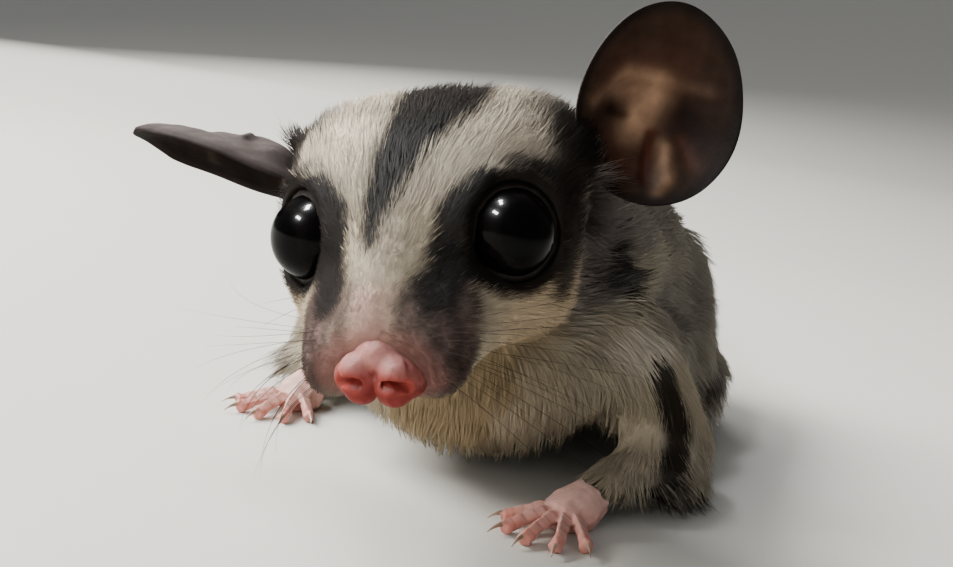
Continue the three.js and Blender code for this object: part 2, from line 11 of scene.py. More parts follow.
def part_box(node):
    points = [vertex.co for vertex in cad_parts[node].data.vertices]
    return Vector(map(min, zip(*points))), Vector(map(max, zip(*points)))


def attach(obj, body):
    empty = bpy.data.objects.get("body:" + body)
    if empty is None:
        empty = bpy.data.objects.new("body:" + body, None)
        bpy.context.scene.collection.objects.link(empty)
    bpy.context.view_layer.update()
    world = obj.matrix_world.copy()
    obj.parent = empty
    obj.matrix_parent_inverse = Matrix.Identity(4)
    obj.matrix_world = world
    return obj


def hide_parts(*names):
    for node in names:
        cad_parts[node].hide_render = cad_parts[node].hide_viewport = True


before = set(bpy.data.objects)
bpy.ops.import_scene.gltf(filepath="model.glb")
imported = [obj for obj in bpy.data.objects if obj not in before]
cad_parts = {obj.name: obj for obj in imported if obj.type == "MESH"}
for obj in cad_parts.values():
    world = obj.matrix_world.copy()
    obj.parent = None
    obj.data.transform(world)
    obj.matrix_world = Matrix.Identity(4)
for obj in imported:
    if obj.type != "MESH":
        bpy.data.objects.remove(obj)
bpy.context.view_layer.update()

# Places are worked out in millimetres and turned to metres when a mesh is made.
MM = 0.001
SIDES = {"left": 1, "right": -1}

# How the head is turned on the body, in degrees, and where the eyes sit in it.
HEAD_TURN, HEAD_PITCH, HEAD_ROLL = 7, 15, -12
EYE_IN_HEAD = (8.7, -0.2, 0.9)
EYE_RADIUS = 4
EYE_ASIDE, EYE_RAISED = 43, 14
HEAD_HEIGHT = 28

# The back bends a little sideways: this is its offset and slope across the body.
BODY_OFFSET, BODY_SLOPE, BODY_BEND_FROM = -4.5, -0.12, 37


def node_centre(name):
    """The middle of a CAD node's box, in millimetres."""
    low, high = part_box(name)
    return (np.array(low) + np.array(high)) / 2 / MM


def turn(axis, degrees):
    return np.array(Matrix.Rotation(math.radians(degrees), 3, axis))


HEAD_AXES = turn("Z", HEAD_TURN) @ turn("X", HEAD_PITCH) @ turn("Y", HEAD_ROLL)
EYES_MIDDLE = (node_centre("eye_left") + node_centre("eye_right")) / 2
HEAD_ORIGIN = EYES_MIDDLE - HEAD_AXES @ np.array((0, EYE_IN_HEAD[1], EYE_IN_HEAD[2]))
BODY_ORIGIN = HEAD_ORIGIN - np.array((0, 0, HEAD_HEIGHT))


def to_head(points):
    return (np.asarray(points) - HEAD_ORIGIN) @ HEAD_AXES


def from_head(points):
    return np.asarray(points) @ HEAD_AXES.T + HEAD_ORIGIN


def to_body(points):
    """Across the bent back, along it and up, with the back's middle at zero."""
    p = np.array(points, float) - BODY_ORIGIN
    p[..., 0] -= BODY_OFFSET + BODY_SLOPE * (p[..., 1] - BODY_BEND_FROM)
    return p


def from_body(points):
    p = np.array(points, float)
    p[..., 0] += BODY_OFFSET + BODY_SLOPE * (p[..., 1] - BODY_BEND_FROM)
    return p + BODY_ORIGIN


def mirrored(points):
    """Places with both sides laid on the left one."""
    x, y, z = points.T
    return np.stack((np.abs(x), y, z), 1)


def unit(v):
    return v / np.maximum(np.linalg.norm(v, axis=-1, keepdims=True), 1e-9)


def step(value, start, end):
    """Rises smoothly from 0 at start to 1 at end."""
    t = np.clip((value - start) / (end - start), 0, 1)
    return t * t * (3 - 2 * t)


def away_from_segment(p, a, b):
    """Distance from each point to the segment from a to b."""
    a, b = np.array(a, float), np.array(b, float)
    t = np.clip((p - a) @ (b - a) / ((b - a) @ (b - a)), 0, 1)
    return np.linalg.norm(p - a - t[..., None] * (b - a), axis=-1)


def ripple(points, size, seed):
    """A smooth random value from -1 to 1 whose lumps are about size across."""
    rng = np.random.default_rng(seed)
    total = 0
    for _ in range(6):
        way = rng.normal(size=3)
        total = total + np.sin(points @ way * (2.2 / size) + rng.uniform(0, 6.3))
    return total / 3.2


def eye_axis(side):
    """The way an eye looks, in the head."""
    aside, raised = math.radians(EYE_ASIDE), math.radians(EYE_RAISED)
    flat = math.cos(raised)
    return np.array((side * math.sin(aside) * flat, -math.cos(aside) * flat, math.sin(raised)))


def eye_centre(side):
    return np.array((side * EYE_IN_HEAD[0], EYE_IN_HEAD[1], EYE_IN_HEAD[2]))


# The legs' joints and the palms: the forelegs are set each in its own place, the hind legs alike.
FORE_JOINTS = {
    "left": ((10.5, 33, 19), (19, 41, 7), (15.4, 25, 3.9), (13.4, 20.6, 1.5)),
    "right": ((-19.5, 40, 18.5), (-30.5, 54, 7.5), (-27.2, 44, 3.9), (-27.2, 39.4, 1.5)),
}
HIND_JOINTS = ((12, 86, 17.5), (18.2, 68, 12.4), (20, 90, 4.4), (22, 74, 1.6))


def leg_lines(limb, word):
    """The joints of a leg from its root to its palm."""
    if limb == "foreleg":
        return np.array(FORE_JOINTS[word]) + BODY_ORIGIN
    return from_body([(SIDES[word] * x, y, z) for x, y, z in HIND_JOINTS])


# Each ear leaf: its middle, the way it stands and the way its cup faces, in the head, then how deep its
# cup is and how far painted shade darkens its cup and its back, much more on the right ear, which lies in
# shade.
EARS = {
    "left": {"centre": (20.5, 15.1, 7.7), "along": (0.22, 0.4, 0.89),
             "facing": (0.42, -0.88, 0.2), "depth": 3.6, "cup_shade": 0.85, "back_shade": 0.75},
    "right": {"centre": (-21.8, 10.4, 4.6), "along": (-0.9, -0.11, 0.43),
              "facing": (-0.31, -0.52, -0.78), "depth": 2.4, "cup_shade": 0.16, "back_shade": 0.55},
}
EAR_ROOT = (11.5, 13.5, 3.2)
EAR_LENGTH, EAR_WIDTH, EAR_THICK = 18.8, 15.8, 0.7


def ear_axes(word):
    """The ear's middle and its ways: up along the leaf, across it towards the brow, and out of the cup."""
    ear = EARS[word]
    out = unit(np.array(ear["facing"], float))
    up = np.array(ear["along"], float)
    up = unit(up - out * (up @ out))
    return np.array(ear["centre"]), up, np.cross(out, up) * SIDES[word], out


def ear_root(word):
    x, y, z = EAR_ROOT
    return np.array((x * SIDES[word], y, z))


# The tail's middle line in body places, its radius and its core.
TAIL_LINE = (
    (0, 98, 14), (0, 112, 10.4), (-1, 130, 8.8), (-6, 156, 8.4),
    (-20, 184, 8.2), (-43, 208, 7.6), (-66, 222, 6.6),
)
TAIL_RADIUS, TAIL_CORE, TAIL_SAMPLES = 9.6, 0.56, 120


def curve_through(points, samples):
    """Places on a smooth line through the points, evenly spread along it."""
    p = np.array(points, float)
    p = np.vstack((2 * p[0] - p[1], p, 2 * p[-1] - p[-2]))
    dense = []
    for i in range(1, len(p) - 2):
        t = np.linspace(0, 1, 40, endpoint=False)[:, None]
        a, b, c, d = p[i - 1], p[i], p[i + 1], p[i + 2]
        dense.append(
            0.5 * (2 * b + (c - a) * t + (2 * a - 5 * b + 4 * c - d) * t**2
                   + (3 * b - a - 3 * c + d) * t**3)
        )
    dense = np.vstack((*dense, p[-2]))
    run = np.concatenate(([0], np.cumsum(np.linalg.norm(np.diff(dense, axis=0), axis=1))))
    at = np.linspace(0, run[-1], samples)
    return np.stack([np.interp(at, run, dense[:, k]) for k in range(3)], 1)


tail_line = from_body(curve_through(TAIL_LINE, TAIL_SAMPLES))
tail_ways = unit(np.gradient(tail_line, axis=0))


def tail_radius(t):
    """The whole tail's radius from its root at 0 to its tip at 1."""
    return TAIL_RADIUS * (1 - 0.24 * np.exp(-9 * t)) * (1 - 0.16 * t**3)


# The flesh: each region of the skin and the CAD nodes that it stands for.
REGIONS = {
    "head": ["head", "nose"],
    "neck": ["neck"],
    "torso": ["torso"],
    "foreleg": ["foreleg_left", "foreleg_right"],
    "hindleg": ["hindleg_left", "hindleg_right"],
    "membrane": ["membrane_left", "membrane_right"],
    "tail": ["tail_1", "tail_2", "tail_3", "tail_4", "tail_5"],
}
REGION_NAMES = list(REGIONS)
# How finely the skin is remeshed and how far the flesh is grown first, so that it joins up.
SKIN_VOXEL, SKIN_SWELL = 0.62, 0.24
CREASE_MIDDLE, CREASE_RADII = (20.6, 50, 16), (2.9, 14, 4)


def new_object(name, data):
    made = bpy.data.objects.new(name, data)
    bpy.context.scene.collection.objects.link(made)
    return made


def mesh_from(bm, name):
    """A new mesh from a bmesh, which is freed."""
    mesh = bpy.data.meshes.new(name)
    bm.to_mesh(mesh)
    bm.free()
    return mesh


def merged_copy(names, swell=0):
    """A bmesh of CAD nodes, with doubles merged, each grown by swell to close the gaps."""
    bm = bmesh.new()
    for name in names:
        bm.from_mesh(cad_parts[name].data)
    bmesh.ops.remove_doubles(bm, verts=bm.verts, dist=1e-6)
    bm.normal_update()
    for v in bm.verts:
        v.co += v.normal * swell * MM
    return bm


def remeshed(name, bm, voxel, rounds):
    """One closed surface round a bmesh, smoothed by some rounds."""
    obj = new_object(name, mesh_from(bm, name))
    remesh = obj.modifiers.new("remesh", "REMESH")
    remesh.mode = "VOXEL"
    remesh.voxel_size = voxel * MM
    remesh.use_smooth_shade = True
    smooth = obj.modifiers.new("smooth", "SMOOTH")
    smooth.factor = 0.5
    smooth.iterations = rounds
    graph = bpy.context.evaluated_depsgraph_get()
    made = bpy.data.meshes.new_from_object(obj.evaluated_get(graph))
    made.name = name
    bpy.data.objects.remove(obj)
    return made


def read_rows(items, key, width, kind=np.float32):
    """A value of each item of a mesh, as rows of the given width."""
    found = np.empty(len(items) * width, kind)
    items.foreach_get(key, found)
    return found.reshape(-1, width)


def coordinates(mesh):
    return read_rows(mesh.vertices, "co", 3).astype(float) / MM


def set_coordinates(mesh, places):
    mesh.vertices.foreach_set("co", (places * MM).astype(np.float32).ravel())
    mesh.update()


def vertex_normals(mesh):
    return read_rows(mesh.vertex_normals, "vector", 3).astype(float)


def put_colour(mesh, name, colours):
    layer = mesh.attributes.new(name, "FLOAT_COLOR", "POINT")
    layer.data.foreach_set("color", np.column_stack((colours, np.ones(len(colours)))).ravel())


def put_vector(mesh, name, vectors):
    layer = mesh.attributes.new(name, "FLOAT_VECTOR", "POINT")
    layer.data.foreach_set("vector", vectors.ravel())


def tail_core_mesh(bm):
    """Adds the slim flesh of the tail, one closed tube of rings along its line."""
    around = 14
    rings = []
    for i, (place, way) in enumerate(zip(tail_line, tail_ways)):
        t = i / (TAIL_SAMPLES - 1)
        full = TAIL_CORE + 0.36 * (1 - step(t, 0.02, 0.2))
        radius = tail_radius(t) * full * (1 - 0.75 * step(t, 0.8, 1)) * MM
        turned = Vector(way).to_track_quat("Z", "Y").to_matrix().to_4x4()
        ring = bmesh.ops.create_circle(bm, segments=around, radius=radius,
                                       matrix=Matrix.Translation(Vector(place * MM)) @ turned)
        rings.append(ring["verts"])
    for lower, upper in zip(rings, rings[1:]):
        edges = [e for ring in (lower, upper) for e in {e for v in ring for e in v.link_edges}
                 if all(v in ring for v in e.verts)]
        bmesh.ops.bridge_loops(bm, edges=edges)
    for ring in (rings[0], rings[-1]):
        bmesh.ops.contextual_create(bm, geom=ring)
    bmesh.ops.recalc_face_normals(bm, faces=bm.faces)


def ear_stump(bm, word):
    """Adds the fleshy foot of an ear, which the coat covers."""
    centre, _, _, out = ear_axes(word)
    foot = ear_root(word)
    joint = centre + (foot - centre) * 0.55 - out * (EARS[word]["depth"] + 0.6)
    middle, long = (foot + joint) / 2, np.linalg.norm(joint - foot)
    way = Vector(HEAD_AXES @ (joint - foot)).to_track_quat("Z", "Y").to_matrix().to_4x4()
    size = Matrix.Diagonal((3, 3, long * 0.5 + 2.4, 1))
    place = Matrix.Translation(Vector(from_head(middle) * MM))
    bmesh.ops.create_icosphere(bm, subdivisions=3, radius=MM, matrix=place @ way @ size)


def crease_fill(bm, side):
    """Fills the deep crease between the foreleg, the flank and the gliding skin."""
    x, y, z = CREASE_MIDDLE
    middle = Matrix.Translation(Vector(from_body((side * x, y, z)) * MM))
    size = Matrix.Diagonal((*CREASE_RADII, 1))
    bmesh.ops.create_icosphere(bm, subdivisions=3, radius=MM, matrix=middle @ size)


def nearest_distances(points, names):
    """How far each point is from the nearest of some CAD nodes."""
    trees = []
    for name in names:
        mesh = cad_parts[name].data
        corners = [v.co for v in mesh.vertices]
        trees.append(BVHTree.FromPolygons(corners, [tuple(p.vertices) for p in mesh.polygons]))
    found = np.full(len(points), 99.0)
    for i, p in enumerate(points * MM):
        for tree in trees:
            hit = tree.find_nearest(p, found[i] * MM)
            if hit[3] is not None:
                found[i] = min(found[i], hit[3] / MM)
    return found


def region_weights(points):
    """How far each point belongs to each region, as rows that add up to one."""
    soft = 1.8
    raw = np.stack([nearest_distances(points, REGIONS[r]) for r in REGION_NAMES], 1)
    raw = np.exp(-((raw / soft) ** 2)) + 1e-9
    return raw / raw.sum(1, keepdims=True)


def share(weights, name):
    return weights[:, REGION_NAMES.index(name)]


def blended(values, weights):
    """A value for each point from one value for each region, in the regions' order."""
    return sum(weights[:, i] * value for i, value in enumerate(values))


# The colours of the fur and the bare skin.
CREAM = np.array((0.55, 0.465, 0.335))
WARM_CREAM = np.array((0.64, 0.485, 0.315))
TAN = np.array((0.34, 0.245, 0.135))
SILVER = np.array((0.66, 0.575, 0.45))
GREY = np.array((0.31, 0.275, 0.225))
MAUVE_GREY = np.array((0.24, 0.20, 0.175))
BROWN_GREY = np.array((0.20, 0.165, 0.128))
BLACK = np.array((0.012, 0.009, 0.0075))
DARK_GREY = np.array((0.05, 0.038, 0.032))
MUZZLE = np.array((0.075, 0.050, 0.044))
WHITE = np.array((0.76, 0.71, 0.62))
PINK = np.array((0.62, 0.33, 0.28))
BRIDGE_PINK = np.array((0.42, 0.255, 0.215))
FLUSH_RED = np.array((0.27, 0.105, 0.09))
EYE_BLACK = np.array((0.0008, 0.0008, 0.001))
EYE_BROWN = np.array((0.0032, 0.0024, 0.0024))
PAW_TOP = np.array((0.64, 0.40, 0.35))
PAD_RED = np.array((0.66, 0.27, 0.22))
CREASE_RED_AND_SHADE = np.array((0.40, 0.17, 0.14))
WHISKER_BLACK = np.array((0.03, 0.022, 0.017))


def mix(base, colour, amount):
    return base + (colour - base) * np.clip(amount, 0, 1)[:, None]


def painted(colour, *layers):
    """A colour with layers laid over it, each a tone and how much of it there is at each point."""
    for tone, amount in layers:
        colour = mix(colour, tone, amount)
    return colour


def near_line(points, places, core, edge):
    """One close to a line through some places, falling to zero between core and edge."""
    away = np.min([away_from_segment(points, a, b) for a, b in zip(places, places[1:])], axis=0)
    return 1 - step(away, core, edge)


# The edges of the stripe on the forehead: how far back, and its right and left edges there.
STRIPE_BACK = (-8.4, -6.6, -4.8, -1, 2.3, 7.1, 11, 22)
STRIPE_RIGHT = (-1.6, -2.5, -2.8, -2.6, -2.5, -2.9, -3.4, -4.6)
STRIPE_LEFT = (-1.3, -0.6, 0.3, 2.3, 3.9, 5.4, 6, 4.8)

# The lines that the head's marks follow, on its left side.
# The brow line is no mark: it carries a painted highlight along the lit brow.
BROW_HIGHLIGHT = ((5, 0, 8.6), (6, 3, 9.8), (7.6, 6.4, 10.2))
WHISKER_PAD = ((5.4, -7.5, -1.4), (6.2, -10, -4), (6.4, -11.5, -5.2))
EYE_TO_NOSE = ((7.6, -3.5, 1), (5.4, -7.2, 0.1), (4.7, -9.4, -1.1))
INNER_BROW = ((5.2, -5.8, 2.2), (5.7, -4.6, 4.7), (8, -2, 6.6))
OUTER_BROW = ((9.5, 1, 6.6), (12.6, 4, 5.4))
EYE_TO_EAR = ((13.6, 5.5, 3.6), (15.2, 11, 5.8))
TEMPLE = ((13.8, 5, 3), (14.2, 6, -0.8), (13.4, 2.2, -3.4))
EAR_FOOT = (15, 11.3, 7.4)


def head_ground(h):
    """The head's plain fur, silvery above, warm below and grey behind the eyes, with a painted highlight
    along the brows.
    """
    x, y, z = h.T
    ax = np.abs(x)
    return painted(
        np.tile(CREAM, (len(h), 1)),
        (SILVER, step(z, 3, 8)),
        (GREY * 0.95, np.exp(-((x / 3) ** 2 + ((y + 8) / 4) ** 2)) * 0.5),
        (WARM_CREAM, step(-z, 1, 5) * step(y, -9, -2)),
        (GREY * 0.9, step(y, 5, 11) * step(ax, 7.5, 11) * step(z, -2, 6) * 0.9),
        (MAUVE_GREY * 0.9, step(y, 5, 8.5) * step(ax, 9, 12) * step(3 - z, 0, 3) * 0.85),
        # Painted highlight: lighter silver along the brows.
        (SILVER * 1.35, near_line(mirrored(h), BROW_HIGHLIGHT, 0.6, 2.8) * 0.8),
        (TAN, step(-z, 7.5, 12) * step(y, -13, -9)),
    )


def muzzle_marks(colour, h, rough):
    """The dark flecked snout, its pale bridge and the flush round the nose pad."""
    x, y, z = h.T
    flecks = np.clip(0.5 + 0.5 * ripple(h, 0.9, 4), 0, 1)
    tone = MUZZLE * (0.6 + 1.5 * flecks[:, None] ** 1.5) * (1 + 0.5 * step(z, -7, -4))[:, None]
    beside = step(np.abs(x - 0.1), 1.3 + 0.3 * rough, 2.5)
    snout = (1 - step(y, -11.2, -8.4)) * beside * step(z, -10.2, -8.8)
    bridge = (1 - step(y, -12.6, -9.4)) * (1 - step(np.abs(x), 1.3, 2.4))
    flush = 1 - step(pad_distance(h), 1.02, 1.7 + 0.2 * rough)
    return painted(
        colour,
        (tone, snout * 0.92),
        (BRIDGE_PINK, bridge * 0.85),
        (tone * 0.75, near_line(mirrored(h), WHISKER_PAD, 1.9 + 0.4 * rough, 3.9) * 0.96),
        (FLUSH_RED, flush * 0.6),
    )


def eye_marks(colour, h, rough):
    """The black round the eyes, drawn out to the nose, over the brow and to the ears."""
    folded = mirrored(h)
    away = np.linalg.norm(folded - np.array(EYE_IN_HEAD), axis=1)
    ear_foot = np.linalg.norm(folded - np.array(EAR_FOOT), axis=1)
    behind = step(h[:, 1], -1, 3)
    ring = 1 - step(away, 5.4 + 0.35 * rough + 0.9 * behind, 6.9 + 1.2 * behind)
    ring_tone = BLACK * (1 + 1.6 * step(-h[:, 2], 2.5, 4.5) * (1 - behind))[:, None]
    return painted(
        colour,
        (BLACK, near_line(folded, EYE_TO_NOSE, 1.3 + 0.4 * rough, 3.1) * 0.97),
        (BLACK * 0.7, near_line(folded, INNER_BROW, 1.2 + 0.3 * rough, 2.2) * 0.98),
        (ring_tone, ring),
        (BLACK * 1.6, near_line(folded, OUTER_BROW, 1 + 0.3 * rough, 2.4) * 0.9),
        (BLACK * 2.6, near_line(folded, EYE_TO_EAR, 2.4 + 0.4 * rough, 4.4) * 0.93),
        (BLACK * 1.8, near_line(folded, TEMPLE, 2.4 + 0.4 * rough, 3.8) * 0.93),
        (BLACK * 1.8, (1 - step(ear_foot, 3.2, 5.6)) * 0.93),
    )


def head_colour(h):
    """The markings of the head, from places in the head."""
    x, y, z = h.T
    rough = ripple(h, 1.6, 3)
    colour = eye_marks(muzzle_marks(head_ground(h), h, rough), h, rough)
    right, left = np.interp(y, STRIPE_BACK, STRIPE_RIGHT), np.interp(y, STRIPE_BACK, STRIPE_LEFT)
    inside = np.minimum(x - right, left - x) + 0.25 * rough
    stripe = step(inside, -0.7, 0.75) * step(z, 0.5, 2.6) * step(y, -9, -7.6)
    stripe_tone = BLACK * (0.4 + 1.6 * step(y, 3, 12))[:, None]
    return mix(colour, stripe_tone, stripe * 0.98)


# The lines that the body's marks follow, on its left side.
PALE_LINE = ((11, 20, 14), (14.1, 22.5, 16.8), (16.3, 26.4, 19.3), (18.7, 28.8, 22.7),
             (19.4, 44.6, 23.9), (20.3, 62.7, 26.1))
CHEST_LINE = ((9, 22, 8), (13, 23.4, 10), (16.5, 26.4, 12), (19, 27.5, 8.5), (21.4, 29.5, 8))
SHOULDER_SPOT = ((20.2, 28.8, 17.4), (22.4, 31.3, 17.2))
NECK_SHADE = ((13, 25, 24), (14.2, 33, 28), (15, 41, 31))
NECK_STREAK = ((13, 15, 30), (14, 22, 28), (16.4, 28, 26.4))
NECK_PATCH = ((17.8, 31, 24.4), (17.8, 34, 26.2), (17.4, 37.5, 27.6))
FORELEG_BAND = ((22.8, 32.4, 15), (24, 33.4, 12.4), (25.8, 35, 9), (26, 31.2, 5.6), (24.6, 28, 2.6))
FOLD_EDGE = ((26.4, 50, 7.4), (28, 74, 8), (26.5, 88, 7.4))
# The stripe down the back: how far back, and half its width there.
BACK_STRIPE = ((10, 30, 70, 98), (4.4, 3.2, 2.4, 2))


def body_ground(b, soft, fore):
    """The body's plain fur, grey and brown above and cream below, with painted shade in tan on the throat
    under the head.
    """
    x, y, z = b.T
    ax = np.abs(x)
    belly = step(12 - z + 0.15 * ax + soft - 0.25 * np.maximum(y - 80, 0), 0, 4) * (1 - step(ax, 17, 23))
    throat_shade = step(27 - y - 0.2 * ax + soft, -2, 5) * step(27 - z, 0, 5)
    return painted(
        np.tile(GREY, (len(b), 1)),
        (BROWN_GREY, step(z, 24, 38) * 0.4),
        (BROWN_GREY, step(z, 23, 27) * (1 - step(y, 30, 46)) * 0.6),
        (CREAM * 0.9, belly),
        # Tan on the throat is painted shade under the head.
        (TAN * 1.05, throat_shade * 0.9),
        (CREAM * 0.92, fore * step(20 - z, 0, 5)),
    )


def body_colour(b, weights):
    """The markings of the neck, body and legs, from places in the body."""
    x, y, z = b.T
    soft = ripple(b, 3.5, 5)
    folded = mirrored(b)
    fore, hind, fold = share(weights, "foreleg"), share(weights, "hindleg"), share(weights, "membrane")
    hind_fold = fold * step(y, 42, 50)
    half = np.interp(y, *BACK_STRIPE)
    stripe = 1 - step(np.abs(x), half * 0.55, half * 1.5 + 0.4 * soft)
    band = near_line(folded, FORELEG_BAND, 1.4 + 0.3 * soft, 2.8)
    edge = near_line(folded, FOLD_EDGE, 1.1 + 0.3 * soft, 2.8)
    return painted(
        body_ground(b, soft, fore),
        (CREAM * 0.85, near_line(folded, PALE_LINE, 1.6 + 0.5 * soft, 4) * 0.7),
        (CREAM * 0.95, near_line(folded, CHEST_LINE, 2.6 + 0.4 * soft, 4.6) * 0.9),
        (GREY * 2, near_line(folded, SHOULDER_SPOT, 2 + 0.5 * soft, 4) * 0.9),
        (BLACK * 2, stripe * step(z, 24, 30)),
        (MAUVE_GREY, near_line(folded, NECK_SHADE, 2.4 + 0.4 * soft, 4.4) * 0.85),
        (DARK_GREY * 1.4, near_line(folded, NECK_STREAK, 1 + 0.3 * soft, 2.8) * 0.7),
        (BLACK, near_line(folded, NECK_PATCH, 1.5 + 0.4 * soft, 3.4) * 0.95),
        (BLACK, band * (fore + fold) * 0.95),
        (DARK_GREY, hind * step(9 - z, 0, 5) * 0.6),
        (BLACK * 2.4, edge * np.minimum(2 * np.maximum(hind_fold, hind), 1) * 0.92),
        (WHITE, step(5.4 - z + 0.6 * soft, 0, 1.6) * hind_fold),
    )


def tail_colour(p, along):
    """Grey at the root and near black at the tip, darker above."""
    colour = np.tile(GREY, (len(p), 1))
    colour = mix(colour, BROWN_GREY, step(p[:, 2], 6, 13) * 0.5)
    return mix(colour, BLACK * 2, step(along + 0.05 * ripple(p, 6, 8), 0.55, 0.88))


def nearest_on_tail(points):
    """Where along the tail each point is, from 0 to 1, and the tail's way there."""
    finder = KDTree(len(tail_line))
    for i, p in enumerate(tail_line):
        finder.insert(p, i)
    finder.balance()
    at = np.array([finder.find(p)[1] for p in points])
    return at / (TAIL_SAMPLES - 1), tail_ways[at]


def coat_colour(points, weights):
    """The markings of the whole animal at some places, which the skin and the coat share."""
    along, _ = nearest_on_tail(points)
    head = head_colour(to_head(points))
    body = body_colour(to_body(points), weights)
    tail = tail_colour(points, along)
    head_part = share(weights, "head")[:, None]
    tail_part = share(weights, "tail")[:, None]
    return head * head_part + tail * tail_part + body * (1 - head_part - tail_part)


def face_nearness(h):
    """Distances on the head: to the nose pad and to the nearer eye's middle."""
    nose = np.linalg.norm((h - np.array((0, -14.4, -5.4))) / np.array((1.1, 1, 1.1)), axis=1)
    return nose, np.linalg.norm(mirrored(h) - np.array(EYE_IN_HEAD), axis=1)


def pad_distance(h):
    """Below one inside the nose pad's outline, from places in the head."""
    return np.linalg.norm((h - np.array((0.45, -14.6, -6))) / np.array((3.9, 2.6, 2.9)), axis=1)


def hair_length(points, weights):
    """How long the hair is, in millimetres."""
    h = to_head(points)
    b = to_body(points)
    nose, eye = face_nearness(h)
    head = 0.7 + 2.9 * step(nose, 4, 22) + 0.9 * step(-h[:, 2], 4, 12) * step(h[:, 1], -4, 4)
    head *= 0.45 + 0.55 * step(eye, 4.8, 9)
    torso = 5.6 - 1.4 * step(34 - b[:, 1], 0, 10) * step(24 - b[:, 2], 0, 8)
    along, _ = nearest_on_tail(points)
    tail = 13 + 8 * step(along, 0.04, 0.5)
    leg = 4.4 - 2 * step(7 - b[:, 2], 0, 4)
    hem = np.interp(b[:, 1], (46, 58, 74, 92, 100), (26, 26.4, 28, 25, 20))
    fold = 3.8 + 1.6 * step(np.abs(b[:, 0]), hem - 3, hem)
    return blended((head, 5, torso, leg, leg, fold, tail), weights)


def coat_depth(points, weights):
    """How deep the coat is over the skin."""
    h = to_head(points)
    nose, eye = face_nearness(h)
    head = (0.12 + 1.1 * step(nose, 4, 20)) * (0.25 + 0.75 * step(eye, 4.8, 8))
    head = head + 1.5 * (1 - step(pad_distance(h), 0.82, 1.12))
    return blended((head, 1.9, 2.1, 1.2, 1.3, 0.45, 0), weights)


def leg_lie(points, limb):
    """The way down a leg at each point, from the leg's nearest stretch."""
    total = np.zeros_like(points)
    for word in SIDES:
        joints = leg_lines(limb, word)
        for a, b in zip(joints, joints[1:]):
            near = np.exp(-((away_from_segment(points, a, b) / 5) ** 2))[:, None] + 1e-9
            total += near * unit(b - a)
    return unit(total)


def hair_lie(points, normals, weights):
    """The way the coat lies along the skin at each place."""
    h = to_head(points)
    b = to_body(points)
    side = np.sign(b[:, 0:1])
    out = np.column_stack((side, np.zeros((len(b), 2))))
    from_nose = (h - np.array((0, -16.5, -2.2))) @ HEAD_AXES.T
    head = unit(from_nose) + np.array((0, 0, -0.25)) * step(-h[:, 2:3], 0, 6)
    low = step(24 - b[:, 2:3], 0, 14)
    front = step(34 - b[:, 1:2], 0, 12) * low
    torso = unit(np.array((BODY_SLOPE, 1, 0)) + low * np.array((0, 0, -0.55)) + 0.12 * out)
    torso = unit(torso + front * np.array((0, -0.3, -1.3)))
    fore = unit(leg_lie(points, "foreleg") + np.array((0, 0.2, -0.25)) + 0.1 * out)
    hind = unit(leg_lie(points, "hindleg") + np.array((0, 0.5, -0.4)) + 0.15 * out)
    fold = unit(np.array((0, 0.55, -0.75)) + 0.9 * out)
    _, way = nearest_on_tail(points)
    lie = blended((unit(head), torso, torso, fore, hind, fold, way), weights[:, :, None])
    lie = lie - normals * (lie * normals).sum(1, keepdims=True)
    return unit(lie)


# The upper lip's bulge under the whiskers: its middle on the left, its height and how far it reaches.
LIP_MIDDLE, LIP_BULGE, LIP_REACH = (5, -11.2, -7.3), 1.7, 2.5


def make_skin():
    """One seamless skin for all the flesh, inside it by the coat's depth."""
    names = [n for r in REGION_NAMES if r != "tail" for n in REGIONS[r]]
    bm = merged_copy(names, SKIN_SWELL)
    tail_core_mesh(bm)
    for word in SIDES:
        ear_stump(bm, word)
        crease_fill(bm, SIDES[word])
    mesh = remeshed("skin", bm, SKIN_VOXEL, 7)
    outer = coordinates(mesh)
    weights = region_weights(outer)
    normals = vertex_normals(mesh)
    from_lip = np.linalg.norm(mirrored(to_head(outer)) - np.array(LIP_MIDDLE), axis=1)
    lip = LIP_BULGE * np.exp(-((from_lip / LIP_REACH) ** 2))
    inner = outer - normals * (coat_depth(outer, weights) + SKIN_SWELL - lip)[:, None]
    inner = relaxed(mesh, inner, 4)
    set_coordinates(mesh, inner)
    return mesh, outer, weights


def relaxed(mesh, places, rounds):
    """Evens out places over their neighbours along the mesh's edges."""
    a, b = read_rows(mesh.edges, "vertices", 2, np.int32).T
    degree = np.bincount(np.concatenate((a, b)), minlength=len(places))[:, None]
    for _ in range(rounds):
        total = np.zeros_like(places)
        np.add.at(total, a, places[b])
        np.add.at(total, b, places[a])
        places = places * 0.5 + total / np.maximum(degree, 1) * 0.5
    return places


def triangles(mesh):
    mesh.calc_loop_triangles()
    return read_rows(mesh.loop_triangles, "vertices", 3, np.int32)


def put_values(node, values):
    """Sets a node's sockets from a table of their names and values."""
    for name, value in values.items():
        node.inputs[name].default_value = value
    return node


def add_node(nodes, kind, values=None, **settings):
    """A new shader node, with its settings and the values of its sockets."""
    made = nodes.new(f"ShaderNode{kind}")
    for name, value in settings.items():
        setattr(made, name, value)
    return put_values(made, values or {})


def object_noise(nodes, links, values):
    """A noise that stays with the animal, on its object coordinates."""
    noise = add_node(nodes, "TexNoise", values)
    links.new(add_node(nodes, "TexCoord").outputs["Object"], noise.inputs["Vector"])
    return noise.outputs["Fac"]


def new_material(name):
    made = bpy.data.materials.new(name)
    made.use_nodes = True
    nodes = made.node_tree.nodes
    return made, nodes, made.node_tree.links, nodes["Principled BSDF"]


